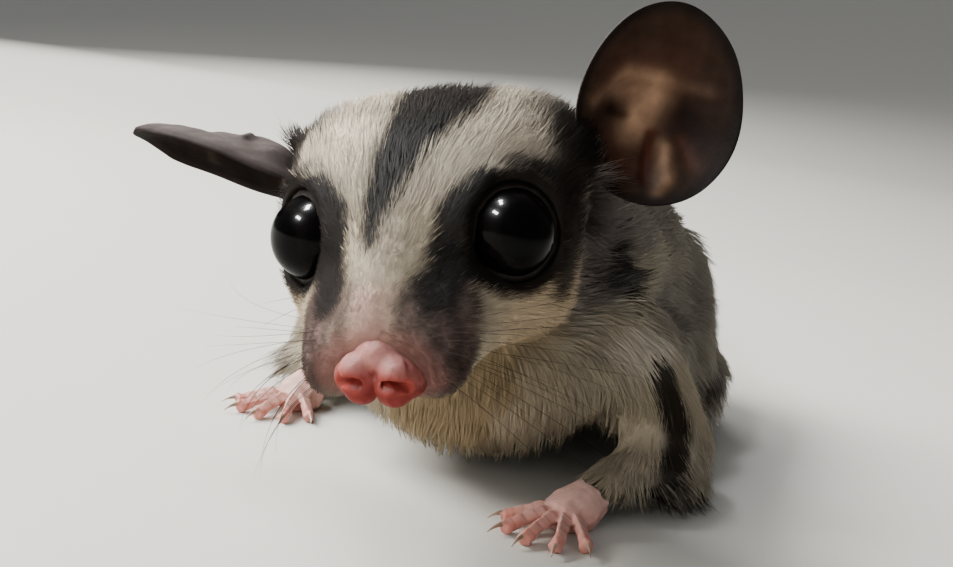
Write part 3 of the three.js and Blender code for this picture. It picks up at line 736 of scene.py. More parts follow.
def hair_grain_group():
    """Fine streaks that run along the lie of the coat."""
    group = bpy.data.node_groups.new("hair grain", "ShaderNodeTree")
    for name in ("Across", "Along"):
        group.interface.new_socket(name, in_out="INPUT", socket_type="NodeSocketFloat")
    for name in ("Streaks", "Patches"):
        group.interface.new_socket(name, in_out="OUTPUT", socket_type="NodeSocketFloat")
    nodes, links = group.nodes, group.links
    given, put = nodes.new("NodeGroupInput"), nodes.new("NodeGroupOutput")
    place = add_node(nodes, "TexCoord")
    joined = add_node(nodes, "CombineXYZ")
    for attribute, scale, axis in (("side", "Across", "X"), ("lie", "Along", "Y")):
        way = add_node(nodes, "Attribute", attribute_name=attribute)
        along = add_node(nodes, "VectorMath", operation="DOT_PRODUCT")
        links.new(place.outputs["Object"], along.inputs[0])
        links.new(way.outputs["Vector"], along.inputs[1])
        times = add_node(nodes, "Math", operation="MULTIPLY")
        links.new(along.outputs["Value"], times.inputs[0])
        links.new(given.outputs[scale], times.inputs[1])
        links.new(times.outputs["Value"], joined.inputs[axis])
    streaks = add_node(nodes, "TexNoise", {"Scale": 1, "Detail": 3})
    links.new(joined.outputs["Vector"], streaks.inputs["Vector"])
    links.new(streaks.outputs["Fac"], put.inputs["Streaks"])
    links.new(object_noise(nodes, links, {"Scale": 420, "Detail": 2}), put.inputs["Patches"])
    return group


def tinted(nodes, links, colour, value, low, high):
    """A colour made darker and lighter by a value that runs from 0 to 1."""
    spread = add_node(nodes, "MapRange")
    put_values(spread, {"From Min": 0.25, "From Max": 0.75, "To Min": low, "To Max": high})
    links.new(value, spread.inputs["Value"])
    times = add_node(nodes, "VectorMath", operation="SCALE")
    links.new(colour, times.inputs[0])
    links.new(spread.outputs["Result"], times.inputs["Scale"])
    return times.outputs["Vector"]


def mesh_colour(nodes):
    """The colour that the mesh carries."""
    return add_node(nodes, "Attribute", attribute_name="coat_colour").outputs["Color"]


def bumped(nodes, links, height, strength, depth, under=None):
    """The normal that a height makes, on top of another normal where one is given."""
    bump = add_node(nodes, "Bump", {"Strength": strength, "Distance": depth * MM})
    links.new(height, bump.inputs["Height"])
    if under is not None:
        links.new(under, bump.inputs["Normal"])
    return bump.outputs["Normal"]


def softened(nodes, links, normal, amount):
    """Turns a normal towards the one of the body under the hair, which the mesh keeps."""
    body = add_node(nodes, "Attribute", attribute_name="body_normal")
    blend = add_node(nodes, "Mix", data_type="VECTOR")
    blend.inputs["Factor"].default_value = amount
    links.new(normal, blend.inputs["A"])
    links.new(body.outputs["Vector"], blend.inputs["B"])
    even = add_node(nodes, "VectorMath", operation="NORMALIZE")
    links.new(blend.outputs["Result"], even.inputs[0])
    return even.outputs["Vector"]


def coat_material(name, grain, across, along, depth, roughness, soft):
    """Hair, or the skin under it, in the animal's markings with streaks along the lie."""
    made, nodes, links, surface = new_material(name)
    streaks = add_node(nodes, "Group", node_tree=grain)
    put_values(streaks, {"Across": across, "Along": along})
    shaded = tinted(nodes, links, mesh_colour(nodes), streaks.outputs["Streaks"], 0.84, 1.16)
    shaded = tinted(nodes, links, shaded, streaks.outputs["Patches"], 0.9, 1.1)
    links.new(shaded, surface.inputs["Base Color"])
    normal = bumped(nodes, links, streaks.outputs["Streaks"], 0.7, depth)
    links.new(softened(nodes, links, normal, soft), surface.inputs["Normal"])
    put_values(surface, {"Roughness": roughness, "Specular IOR Level": 0.035,
                         "Sheen Weight": 0.006, "Sheen Roughness": 0.45})
    return made


def bare_material(name, roughness, scale, depth, under, shine):
    """Bare skin whose colour is in the mesh, with fine creases."""
    made, nodes, links, surface = new_material(name)
    place = add_node(nodes, "TexCoord")
    cells = add_node(nodes, "TexVoronoi", feature="SMOOTH_F1")
    cells.inputs["Scale"].default_value = scale
    links.new(place.outputs["Object"], cells.inputs["Vector"])
    noise = object_noise(nodes, links, {"Scale": scale * 0.35, "Detail": 4})
    links.new(tinted(nodes, links, mesh_colour(nodes), noise, 0.86, 1.12), surface.inputs["Base Color"])
    creased = bumped(nodes, links, cells.outputs["Distance"], 0.6, depth)
    links.new(bumped(nodes, links, noise, 0.5, depth, creased), surface.inputs["Normal"])
    put_values(surface, {"Roughness": roughness, "Specular IOR Level": shine, "Subsurface Weight": under,
                         "Subsurface Radius": (1, 0.35, 0.2), "Subsurface Scale": 0.5 * MM})
    return made


def eye_material():
    """A dark wet eye: near black, with a deep brown iris that shows at a slant."""
    made, nodes, links, surface = new_material("wet eye")
    noise = object_noise(nodes, links, {"Scale": 1500, "Detail": 3})
    links.new(tinted(nodes, links, mesh_colour(nodes), noise, 0.6, 1.4), surface.inputs["Base Color"])
    put_values(surface, {"Roughness": 0.25, "Specular IOR Level": 0.01, "Coat Weight": 0.2,
                         "Coat Roughness": 0.015, "Coat IOR": 1.3})
    return made


def horn_material():
    made, nodes, links, surface = new_material("claw horn")
    noise = object_noise(nodes, links, {"Scale": 1800})
    tone = add_node(nodes, "RGB")
    tone.outputs[0].default_value = (0.30, 0.21, 0.15, 1)
    links.new(tinted(nodes, links, tone.outputs[0], noise, 0.7, 1.25), surface.inputs["Base Color"])
    surface.inputs["Roughness"].default_value = 0.3
    return made


grain = hair_grain_group()
MATERIALS = {
    "coat": coat_material("soft coat", grain, 9000, 900, 0.02, 0.62, 0.8),
    "undercoat": coat_material("undercoat", grain, 7000, 700, 0.08, 0.8, 0.3),
    "bare": bare_material("bare pink skin", 0.5, 3600, 0.05, 0.25, 0.15),
    "nose": bare_material("nose skin", 0.5, 5200, 0.05, 0.2, 0.03),
    "ear": bare_material("ear skin", 0.65, 2600, 0.06, 0.1, 0.02),
    "lid": bare_material("lid skin", 0.6, 4200, 0.04, 0.02, 0.06),
    "eye": eye_material(),
    "horn": horn_material(),
}


def finish_piece(obj, material, slot, *nodes):
    obj.data.materials.clear()
    obj.data.materials.append(MATERIALS[material])
    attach(obj, "root")
    if nodes:
        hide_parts(*nodes)


def smooth_faces(mesh):
    mesh.polygons.foreach_set("use_smooth", np.ones(len(mesh.polygons), bool))


def coloured_piece(name, mesh, tone, material, slot, *nodes):
    """A smooth piece made from a mesh that carries its own colour."""
    put_colour(mesh, "coat_colour", tone)
    smooth_faces(mesh)
    finish_piece(new_object(name, mesh), material, slot, *nodes)


skin_mesh, skin_outer, skin_weights = make_skin()
skin_inner = coordinates(skin_mesh)
skin_normals = vertex_normals(skin_mesh)
skin_lie = hair_lie(skin_outer, skin_normals, skin_weights)
put_colour(skin_mesh, "coat_colour", coat_colour(skin_outer, skin_weights) * 0.85)
put_vector(skin_mesh, "lie", skin_lie)
put_vector(skin_mesh, "body_normal", skin_normals)
put_vector(skin_mesh, "side", np.cross(skin_normals, skin_lie))
skin = new_object("skin", skin_mesh)
finish_piece(skin, "undercoat", "coat", *[n for r in REGION_NAMES for n in REGIONS[r]])

# Tufts, with a value for each region: how many stand on a square millimetre, their width, how far they
# lift off the skin in degrees, and the space between their clumps.
TUFTS_PER_MM2 = (16.6, 7.6, 5.3, 7.6, 5, 4.8, 2.6)
TUFT_WIDTH = (0.1, 0.15, 0.18, 0.15, 0.17, 0.17, 0.34)
TUFT_LIFT = (9, 12, 11, 9, 10, 6, 19)
CLUMP_SPACING = (1, 1.6, 2, 1.6, 1.8, 1.8, 3)
# The side of the little square that each tuft takes in the coat's unwrap.
PATCH = 0.003


def coat_patches(tris):
    """The name of the coat's piece that each of the skin's triangles belongs to."""
    middle = skin_outer[tris].mean(1)
    main = skin_weights[tris].sum(1).argmax(1)
    region = np.array(REGION_NAMES, object)[main]
    names = region.copy()
    (hx, hy, hz), (bx, by, bz) = to_head(middle).T, to_body(middle).T
    head = region == "head"
    trunk = (region == "torso") | (region == "neck")
    for name, inside in (
        ("face_left", head & (hy < 2) & (hx >= 0)),
        ("face_right", head & (hy < 2) & (hx < 0)),
        ("crown", head & (hy >= 2) & (hz >= 0)),
        ("cheeks", head & (hy >= 2) & (hz < 0)),
        ("shoulders", trunk & (bz >= 22) & (by < 60)),
        ("back", trunk & (bz >= 22) & (by >= 60)),
        ("chest", trunk & (bz < 22) & (by < 45)),
        ("belly", trunk & (bz < 22) & (by >= 45)),
    ):
        names[inside] = name
    for limb in ("foreleg", "hindleg", "membrane"):
        for word, side in SIDES.items():
            names[(region == limb) & (np.sign(bx) == side)] = f"{limb}_{word}"
    along, _ = nearest_on_tail(middle[region == "tail"])
    names[region == "tail"] = np.where(along < 0.5, "tail_root", "tail_tip")
    return names


def unwrapped(tris, name):
    """The unwrap of a part of the skin: for each of its triangles three places from 0 to 1."""
    used, index = np.unique(tris, return_inverse=True)
    mesh = bpy.data.meshes.new(name)
    mesh.from_pydata((skin_inner[used] * MM).tolist(), [], index.reshape(-1, 3).tolist())
    obj = new_object(name, mesh)
    bpy.context.view_layer.objects.active = obj
    obj.select_set(True)
    bpy.ops.object.mode_set(mode="EDIT")
    bpy.ops.mesh.select_all(action="SELECT")
    bpy.ops.uv.smart_project(angle_limit=math.radians(70), island_margin=0.004)
    bpy.ops.object.mode_set(mode="OBJECT")
    uv = read_rows(mesh.uv_layers.active.data, "uv", 2)
    bpy.data.objects.remove(obj)
    return uv.reshape(-1, 3, 2)


def tuft_mesh(name, lines, widths, sides, ups, colours, places, rings):
    """One mesh of closed three-sided tapering tufts along the given lines."""
    count = len(lines)
    at = np.arange(rings) / rings
    taper = (1 - at**1.6)[None, :] * widths[:, None] * (0.8 + 0.2 * np.minimum(at * 6, 1))
    corner = np.stack((-sides * 0.5, ups * 0.42, sides * 0.5), 1)
    body = lines[:, :rings, None, :] + taper[:, :, None, None] * corner[:, None, :, :]
    verts = np.concatenate((body.reshape(count, rings * 3, 3), lines[:, rings:rings + 1]), 1)
    per = rings * 3 + 1
    faces = [(r * 3 + k, r * 3 + (k + 1) % 3, r * 3 + 3 + (k + 1) % 3, r * 3 + 3 + k)
             for r in range(rings - 1) for k in range(3)]
    faces += [((rings - 1) * 3 + k, (rings - 1) * 3 + (k + 1) % 3, per - 1) for k in range(3)]
    faces.append((2, 1, 0))
    loops = (np.concatenate(faces)[None, :] + (np.arange(count) * per)[:, None]).ravel()
    totals = np.tile([len(f) for f in faces], count)
    mesh = bpy.data.meshes.new(name)
    mesh.vertices.add(count * per)
    mesh.vertices.foreach_set("co", (verts * MM).astype(np.float32).ravel())
    mesh.loops.add(len(loops))
    mesh.loops.foreach_set("vertex_index", loops.astype(np.int32))
    mesh.polygons.add(len(totals))
    mesh.polygons.foreach_set("loop_start", (np.cumsum(totals) - totals).astype(np.int32))
    mesh.update(calc_edges=True)
    mesh.validate()
    rank = np.concatenate((np.repeat(np.arange(rings) / rings, 3), [1]))
    root, tip = colours[:, None, :, 0], colours[:, None, :, 1]
    put_colour(mesh, "coat_colour", (root + (tip - root) * rank[None, :, None]).reshape(-1, 3))
    lie = unit(lines[:, -1] - lines[:, 0])
    put_vector(mesh, "lie", np.repeat(lie, per, 0))
    put_vector(mesh, "side", np.repeat(sides, per, 0))
    put_vector(mesh, "body_normal", np.repeat(ups, per, 0))
    across = np.concatenate((np.tile((-0.5, 0, 0.5), rings), [0]))
    patch = places[:, None, :] + PATCH * np.stack((across, rank - 0.5), 1)[None]
    layer = mesh.uv_layers.new(name="OFBake")
    layer.data.foreach_set("uv", patch.reshape(-1, 2)[loops].astype(np.float32).ravel())
    smooth_faces(mesh)
    return mesh


def grow_coat(name, tris, seed):
    """The tufts of one piece of the coat."""
    rng = np.random.default_rng(seed)
    uv = unwrapped(tris, name)
    a, b, c = (skin_inner[tris[:, k]] for k in range(3))
    area = np.linalg.norm(np.cross(b - a, c - a), axis=1) / 2
    tri_weights = skin_weights[tris].mean(1)
    crowd = density_share(skin_outer[tris].mean(1), tri_weights)
    wanted = area * blended(TUFTS_PER_MM2, tri_weights) * crowd
    number = np.floor(wanted + rng.random(len(wanted))).astype(int)
    pick = np.repeat(np.arange(len(tris)), number)
    one, two = rng.random((2, len(pick)))
    swap = one + two > 1
    one[swap], two[swap] = 1 - one[swap], 1 - two[swap]
    corner = np.stack((1 - one - two, one, two), 1)

    def at_roots(values):
        return (values[tris[pick]] * corner[:, :, None]).sum(1)

    roots, outer = at_roots(skin_inner), at_roots(skin_outer)
    normals, lie = unit(at_roots(skin_normals)), at_roots(skin_lie)
    weights = at_roots(skin_weights)
    places = (uv[pick] * corner[:, :, None]).sum(1)
    keep = wants_hair(outer)
    roots, outer, normals, lie, weights, places = (
        v[keep] for v in (roots, outer, normals, lie, weights, places))
    lie = unit(lie - normals * (lie * normals).sum(1, keepdims=True))
    return make_tufts(name, rng, roots, outer, normals, lie, weights, places)


def density_share(outer, weights):
    """More tufts where the hair is short and fine, near the nose and eyes."""
    h = to_head(outer)
    nose, eye = face_nearness(h)
    more = 1 + 1.1 * (1 - step(nose, 4, 14)) + 0.8 * (1 - step(eye, 5, 9))
    head = share(weights, "head")
    less = 1 - 0.35 * step(h[:, 1], 6, 14)
    return 1 + head * (more * less - 1)


def wants_hair(outer):
    """False on the nose pad and in the eye openings."""
    h = to_head(outer)
    keep = pad_distance(h) > 0.97
    for side in SIDES.values():
        away = h - eye_centre(side)
        length = np.linalg.norm(away, axis=1)
        slant = away @ eye_axis(side) / np.maximum(length, 1e-6)
        keep &= ~((length < EYE_RADIUS * 1.19) & (slant > 0.2))
    return keep


def make_tufts(name, rng, roots, outer, normals, lie, weights, places):
    """Bends a tuft from each root along the lie, gathered in small clumps."""
    count = len(roots)
    head = share(weights, "head")
    tail = share(weights, "tail")
    length = hair_length(outer, weights) * rng.uniform(0.7, 1.15, count)
    lift = blended(TUFT_LIFT, weights) + 4 * ripple(outer, 7, 21) + rng.normal(0, 3, count)
    lift = np.radians(lift)
    sway = 0.16 * ripple(outer, 5, 22) + rng.normal(0, 0.1, count)
    side = np.cross(normals, lie)
    way = unit(lie + side * sway[:, None])
    side = np.cross(normals, way)
    rings = 4 if tail.mean() > 0.5 else 2
    rank = np.arange(rings + 1) / rings
    bend = np.radians(rng.normal(5, 6, count))
    angle = lift[:, None] + bend[:, None] * rank[None, :] * -1.2
    ahead = np.cos(angle)[..., None] * way[:, None, :] + np.sin(angle)[..., None] * normals[:, None, :]
    pieces = (length / rings)[:, None, None] * ahead
    run = np.concatenate((np.zeros((count, 1, 3)), np.cumsum(pieces[:, :-1], 1)), 1)
    lines = roots[:, None, :] + run
    lines[:, 0] -= normals * 0.15
    lines = clumped(lines, roots, weights, rng)
    lines[..., 2] = np.maximum(lines[..., 2], 0.08)
    width = blended(TUFT_WIDTH, weights) * rng.uniform(0.7, 1.3, count)
    nose, eye = face_nearness(to_head(outer))
    fine = 0.5 + 0.5 * step(np.minimum(nose / 1.3, eye), 5, 11)
    width = width * (1 - head + head * fine)
    seen = outer + way * (length * (0.55 - 0.3 * tail))[:, None] + rng.normal(0, 0.34, (count, 3))
    tone = coat_colour(seen, weights)
    tone = tone * np.exp(rng.normal(0, 0.08, count))[:, None]
    tip = tone * (1.06 + 0.06 * ripple(outer, 4, 23))[:, None]
    colours = np.stack((tone * 0.84, tip), 2)
    return tuft_mesh(name, lines, width, side, normals, colours, places, rings)


def clumped(lines, roots, weights, rng):
    """Draws the tips of neighbouring tufts together."""
    spacing = blended(CLUMP_SPACING, weights)
    chance = rng.random(len(roots)) < 1 / np.maximum(blended(TUFTS_PER_MM2, weights) * spacing**2, 1)
    heads = np.flatnonzero(chance)
    if len(heads) < 2:
        return lines
    finder = KDTree(len(heads))
    for i in heads:
        finder.insert(roots[i], i)
    finder.balance()
    leader = np.array([finder.find(p)[1] for p in roots])
    rings = lines.shape[1] - 1
    pull = (np.arange(rings + 1) / rings) ** 1.5 * 0.38
    start = roots[:, None, :]
    own, led = lines - start, lines[leader] - start
    gap = np.linalg.norm(roots[leader] - roots, axis=1)
    near = 1 - step(gap / spacing, 1.2, 2)
    amount = pull[None, :, None] * near[:, None, None] * rng.uniform(0.5, 1.2, len(roots))[:, None, None]
    return start + own + (led - own) * amount


skin_triangles = triangles(skin_mesh)
patch_names = coat_patches(skin_triangles)
FIRST_SEED = 100
for seed, patch in enumerate(sorted(set(patch_names))):
    tufts = grow_coat(f"coat_{patch}", skin_triangles[patch_names == patch], FIRST_SEED + seed)
    finish_piece(new_object(f"coat_{patch}", tufts), "coat", "coat")


def make_eye(word, side):
    """The eyeball, with a slightly bulging clear front."""
    bm = bmesh.new()
    bmesh.ops.create_icosphere(bm, subdivisions=5, radius=EYE_RADIUS)
    mesh = mesh_from(bm, f"eyeball_{word}")
    local = coordinates(mesh) * MM
    slant = unit(local) @ eye_axis(side)
    bulge = 1 + 0.035 * step(slant, 0.45, 0.95)
    set_coordinates(mesh, from_head(local * bulge[:, None] + eye_centre(side)))
    iris = step(slant, 0.35, 0.7) * (1 - step(slant, 0.7, 0.86))
    tone = mix(np.tile(EYE_BLACK, (len(local), 1)), EYE_BROWN, iris)
    coloured_piece(f"eyeball_{word}", mesh, tone, "eye", "eye", f"eye_{word}")


# The lids' ring: its radius, how far in front of the eye's middle it lies, and its section's half width,
# half thickness and slant.
LID_RADIUS, LID_FORWARD = 4.2, 1.02
LID_WIDE, LID_THICK, LID_SLANT = 0.62, 0.24, 38


def make_lids(word, side):
    """The bare dark rim of both lids, drawn out to a corner towards the nose."""
    axis = Vector(eye_axis(side))
    bm = bmesh.new()
    upright = Matrix.Rotation(math.pi / 2, 4, "X")
    oval = Matrix.Diagonal((LID_WIDE, 1, LID_THICK, 1))
    slant = Matrix.Rotation(math.radians(LID_SLANT), 4, "Y")
    place = Matrix.Translation((LID_RADIUS, 0, 0)) @ slant @ oval @ upright
    ring = bmesh.ops.create_circle(bm, segments=14, radius=1, matrix=place)
    edges = list({e for v in ring["verts"] for e in v.link_edges})
    bmesh.ops.spin(bm, geom=ring["verts"] + edges, cent=(0, 0, 0), axis=(0, 0, 1),
                   angle=math.tau, steps=72, use_merge=True, use_duplicate=False)
    bmesh.ops.remove_doubles(bm, verts=bm.verts, dist=1e-5)
    bmesh.ops.recalc_face_normals(bm, faces=bm.faces)
    mesh = mesh_from(bm, f"lids_{word}")
    up = Vector((0, 0, 1))
    across = up.cross(axis).normalized()
    raised = axis.cross(across)
    ring_places = coordinates(mesh) * MM
    angle = np.arctan2(ring_places[:, 1], ring_places[:, 0])
    toward_nose = math.pi if side > 0 else 0
    from_corner = np.angle(np.exp(1j * (angle - toward_nose - side * 0.35)))
    corner = np.exp(-(from_corner / 0.4) ** 2)
    fold = 0.05 * np.sin(angle * 9 + 1) + 0.04 * np.sin(angle * 17)
    flat = ring_places[:, :2] * (1 + 0.1 * corner)[:, None]
    flat[:, 1] *= 0.97
    depth = ring_places[:, 2] + LID_FORWARD - 0.3 * corner + fold
    local = np.column_stack((flat, depth)) @ np.array((across, raised, axis))
    set_coordinates(mesh, from_head(local + eye_centre(side)))
    # The inner rim is painted a lighter grey: a painted sheen along the wet edge of the lids.
    wet = 1 - step(np.linalg.norm(flat, axis=1), 3.75, 3.95)
    tone = mix(np.tile(BLACK * 0.5, (len(local), 1)), DARK_GREY * 0.4, wet)
    coloured_piece(f"lids_{word}", mesh, tone, "lid", "coat")


def lump(p, centre, radii):
    """Roughly how far each point is outside an ellipsoid."""
    q = (p - np.array(centre, float)) / np.array(radii, float)
    near = np.linalg.norm(q, axis=-1)
    slope = np.linalg.norm(q / np.array(radii, float), axis=-1)
    return near * (near - 1) / np.maximum(slope, 1e-9)


# The ellipsoids that the nose pad is blended from, as their middles and radii: the bridge, and then the
# top, the wing and the lip of each side. The blend between them is as wide as the fillet.
NOSE_BRIDGE = ((0, -12.9, -4.6), (1.7, 1.9, 1.35))
NOSE_LUMPS = (
    ((1.6, -13.9, -5.6), (1.35, 1.75, 1.15)),
    ((2.75, -13.1, -6.6), (0.95, 1.65, 1.2)),
    ((1.25, -14.25, -7.15), (1.5, 1.5, 1.3)),
)
NOSE_FILLET = 0.75
NOSE_MIDDLE = (0, -13.7, -5.9)
NOSTRIL = ((1.15, -15.7, -6.3), (1.8, -15.6, -6.15), (2.7, -14.9, -6.5))
WING_GROOVE = ((2.5, -14.9, -6.2), (2.7, -14, -4.9))
# The nose leans a little: its shift to the left, and its fall to the left for each millimetre. Then it
# is made larger by the last value.
NOSE_SHIFT, NOSE_LEAN, NOSE_SWELL = 0.45, 0.09, 1.03
NOSE_PINK, NOSE_TOP = np.array((0.27, 0.065, 0.058)), np.array((0.43, 0.20, 0.185))
NOSE_WING, NOSE_LIP = np.array((0.22, 0.075, 0.062)), np.array((0.15, 0.024, 0.021))
# The nostril tones are painted shade inside the openings: the wider red partly the skin's own deeper
# colour, the pit tone all shade.
NOSTRIL_RED_AND_SHADE, NOSTRIL_PIT_SHADE = np.array((0.24, 0.042, 0.034)), np.array((0.15, 0.018, 0.014))
NOSE_CLEFT = np.array((0.26, 0.045, 0.035))


def nose_field(p):
    """Below zero inside the nose pad, with its lumps blended into each other."""
    total = lump(p, *NOSE_BRIDGE)
    for (x, y, z), radii in NOSE_LUMPS:
        for side in SIDES.values():
            d = lump(p, (side * x, y, z), radii)
            h = np.maximum(NOSE_FILLET - np.abs(total - d), 0) / NOSE_FILLET
            total = np.minimum(total, d) - h * h * NOSE_FILLET / 4
    return total


def make_nose():
    """The moist pad, with two comma nostrils under their wings and a cleft below."""
    bm = bmesh.new()
    bmesh.ops.create_icosphere(bm, subdivisions=6, radius=1)
    mesh = mesh_from(bm, "nose_pad")
    ways = unit(coordinates(mesh))
    near, far = np.zeros(len(ways)), np.full(len(ways), 6.0)
    for _ in range(24):
        middle = (near + far) / 2
        inside = nose_field(NOSE_MIDDLE + ways * middle[:, None]) < 0
        near, far = np.where(inside, middle, near), np.where(inside, far, middle)
    h = NOSE_MIDDLE + ways * near[:, None]
    folded = mirrored(h)
    hole = np.minimum(away_from_segment(folded, NOSTRIL[0], NOSTRIL[1]),
                      away_from_segment(folded, NOSTRIL[1], NOSTRIL[2]) * 1.2)
    pit = 1 - step(hole, 0.05, 0.6)
    groove = np.exp(-((away_from_segment(folded, *WING_GROOVE) / 0.28) ** 2))
    cleft = np.exp(-((h[:, 0] / 0.22) ** 2)) * step(-h[:, 2], 6.2, 7.2) * step(-h[:, 1], 13, 14)
    shallow = np.exp(-((h[:, 0] / 0.55) ** 2)) * step(-h[:, 1], 13, 14.5) * step(-h[:, 2], 5, 6)
    sunk = 0.95 * pit + 0.3 * groove + 0.45 * cleft + 0.16 * shallow
    sunk = sunk + 0.03 * ripple(h, 0.5, 41)
    h = h - ways * sunk[:, None]
    tone = painted(
        np.tile(NOSE_PINK, (len(h), 1)),
        (NOSE_TOP, step(h[:, 2], -6, -4.4) * 0.9),
        (NOSE_WING, step(folded[:, 0], 2.3, 3.1) * 0.75),
        (NOSE_LIP, step(-h[:, 2], 6.1, 7.2) * 0.92),
        # Painted shade in the nostrils.
        (NOSTRIL_RED_AND_SHADE, 1 - step(hole, 0.3, 1.1)),
        (NOSTRIL_PIT_SHADE, pit * 0.9),
        (NOSE_CLEFT, np.maximum(cleft, groove * 0.7)),
    )
    h = (h - NOSE_MIDDLE) * NOSE_SWELL + NOSE_MIDDLE
    h = np.column_stack((h[:, 0] + NOSE_SHIFT, h[:, 1], h[:, 2] - NOSE_LEAN * h[:, 0]))
    set_coordinates(mesh, from_head(h))
    coloured_piece("nose_pad", mesh, tone, "nose", "nose_skin", "nose")


EAR_DARK, EAR_RIM = (0.030, 0.017, 0.012), (0.011, 0.008, 0.007)
EAR_WARM, EAR_BACK = (0.33, 0.20, 0.125), (0.21, 0.175, 0.17)
# The pit tone is painted shade: near black laid into the sunken folds of the cup.
EAR_RED, EAR_PIT_SHADE, EAR_BLOOD = (0.085, 0.036, 0.024), (0.012, 0.006, 0.005), (0.05, 0.014, 0.009)
# Folds inside the ear's cup, as places along and across the leaf, with how far each stands
# out of the cup, how wide it is, its tone and how strongly it takes that tone.
EAR_FOLDS = (
    ((2, 3.6), (3.6, -0.8), 0.1, 2.2, EAR_RED, 0.5),
    ((-0.9, 5.9), (2.4, 3), 0.35, 0.75, EAR_WARM, 0.28),
    ((2.4, 3), (2.7, -0.6), 0.3, 0.75, EAR_WARM, 0.4),
    ((2.7, -0.6), (2.4, -4.6), 0.25, 0.7, EAR_WARM, 0.16),
    ((-1.5, 0.9), (1.1, -0.1), -0.5, 1.5, EAR_WARM, 0.95),
    ((0.7, 3.6), (1.3, 2), -0.2, 0.9, EAR_WARM, 0.4),
    ((-1.1, 3.6), (-1.3, 1.9), -0.9, 0.5, EAR_PIT_SHADE, 0.9),
    ((-3.4, 1.4), (-2.2, 0.4), -0.3, 1.1, EAR_WARM, 0.45),
    ((-4.4, 3.6), (-6, 1.4), -0.7, 1.4, EAR_RED, 0.7),
    ((-4.2, 4.6), (-5.6, 4), -0.8, 1, EAR_PIT_SHADE, 0.9),
    ((-3.6, -2), (-6.2, -2.4), 0.7, 0.8, EAR_WARM, 0.8),
    ((-6.2, -2.4), (-7.9, -1.8), 0.5, 0.7, EAR_WARM, 0.5),
    ((-2.5, -0.9), (-7, -0.7), -0.8, 0.6, EAR_BLOOD, 0.9),
    ((-2.6, -3.6), (-4.4, -4.6), -0.4, 0.8, EAR_RED, 0.7),
    ((-0.4, -3.4), (-1.6, -6), -0.3, 1.8, EAR_PIT_SHADE, 0.7),
)


def flat_leaf(name):
    """A round double sheet of radius one that the ear is bent from."""
    bm = bmesh.new()
    bmesh.ops.create_grid(bm, x_segments=72, y_segments=72, size=1)
    for v in bm.verts:
        x, y, _ = v.co
        v.co.x, v.co.y = x * math.sqrt(1 - y * y / 2), y * math.sqrt(1 - x * x / 2)
    bmesh.ops.solidify(bm, geom=bm.faces[:], thickness=0.05)
    bmesh.ops.recalc_face_normals(bm, faces=bm.faces)
    return mesh_from(bm, name)


def make_ear(word):
    """A thin cupped leaf with folds in its cup."""
    mesh = flat_leaf(f"ear_leaf_{word}")
    flat = coordinates(mesh) * MM
    centre, up, across, out = ear_axes(word)
    depth = EARS[word]["depth"]
    back = np.abs(flat[:, 2]) > 0.02
    r = np.minimum(np.linalg.norm(flat[:, :2], axis=1), 1)
    along = flat[:, 1] * EAR_LENGTH / 2
    aside = flat[:, 0] * (EAR_WIDTH - 0.9 * flat[:, 1]) / 2
    foot = ear_root(word) - centre
    foot = np.array((foot @ up, foot @ across)) * 0.5
    concha = 1.8 * np.exp(-((along - foot[0]) ** 2 + (aside - foot[1]) ** 2) / 14) * (1 - r * r)
    lift = -depth * (1 - r**2.2) - concha
    cup = np.column_stack((along, aside, np.zeros(len(r))))
    tone = np.tile(EAR_DARK, (len(r), 1))
    detail = np.zeros(len(r))
    for start, end, height, wide, shade, strength in EAR_FOLDS:
        away = away_from_segment(cup, (*start, 0), (*end, 0))
        near = np.exp(-((away / wide) ** 2))
        detail = detail + height * near
        tone = mix(tone, np.array(shade), near * strength)
    ridges = 0.05 * np.sin(along * 3.4 + 0.6 * np.sin(aside)) * step(along, -1, 3)
    ridges = ridges * (1 - step(r, 0.8, 0.95))
    rim = step(r, 0.9, 0.99)
    # The cup and the back are darkened by painted shade, by each ear's own amount.
    tone = painted(
        tone * EARS[word]["cup_shade"],
        (np.array(EAR_RIM), step(r, 0.86, 0.97)),
        (np.array(EAR_BACK) * EARS[word]["back_shade"], back * (1 - 0.5 * rim)),
    )
    lift = lift + (detail * (1 - r**4) + ridges) * np.where(back, 0.55, 1) + 0.12 * ripple(cup, 4, 51)
    lift = lift - back * EAR_THICK * (0.75 + 0.25 * (1 - rim))
    wavy = 1 + 0.012 * np.sin(3 * np.arctan2(aside, along) + 1)
    h = centre + np.outer(along * wavy, up) + np.outer(aside * wavy, across) + np.outer(lift, out)
    set_coordinates(mesh, from_head(h))
    bm = bmesh.new()
    bm.from_mesh(mesh)
    every_way = {"use_axis_x": True, "use_axis_y": True, "use_axis_z": True}
    bmesh.ops.smooth_vert(bm, verts=bm.verts, factor=0.4, **every_way)
    bmesh.ops.recalc_face_normals(bm, faces=bm.faces)
    bm.to_mesh(mesh)
    bm.free()
    # Painted shade: the back of the ear is darkened where it faces down.
    below = step(-vertex_normals(mesh)[:, 2], 0, 0.5)
    mottled = 1 + 0.16 * ripple(coordinates(mesh), 1.6, 52)
    tone = tone * (mottled * (1 - 0.9 * below * back))[:, None]
    coloured_piece(f"ear_leaf_{word}", mesh, tone, "ear", "ear_skin", f"ear_{word}")


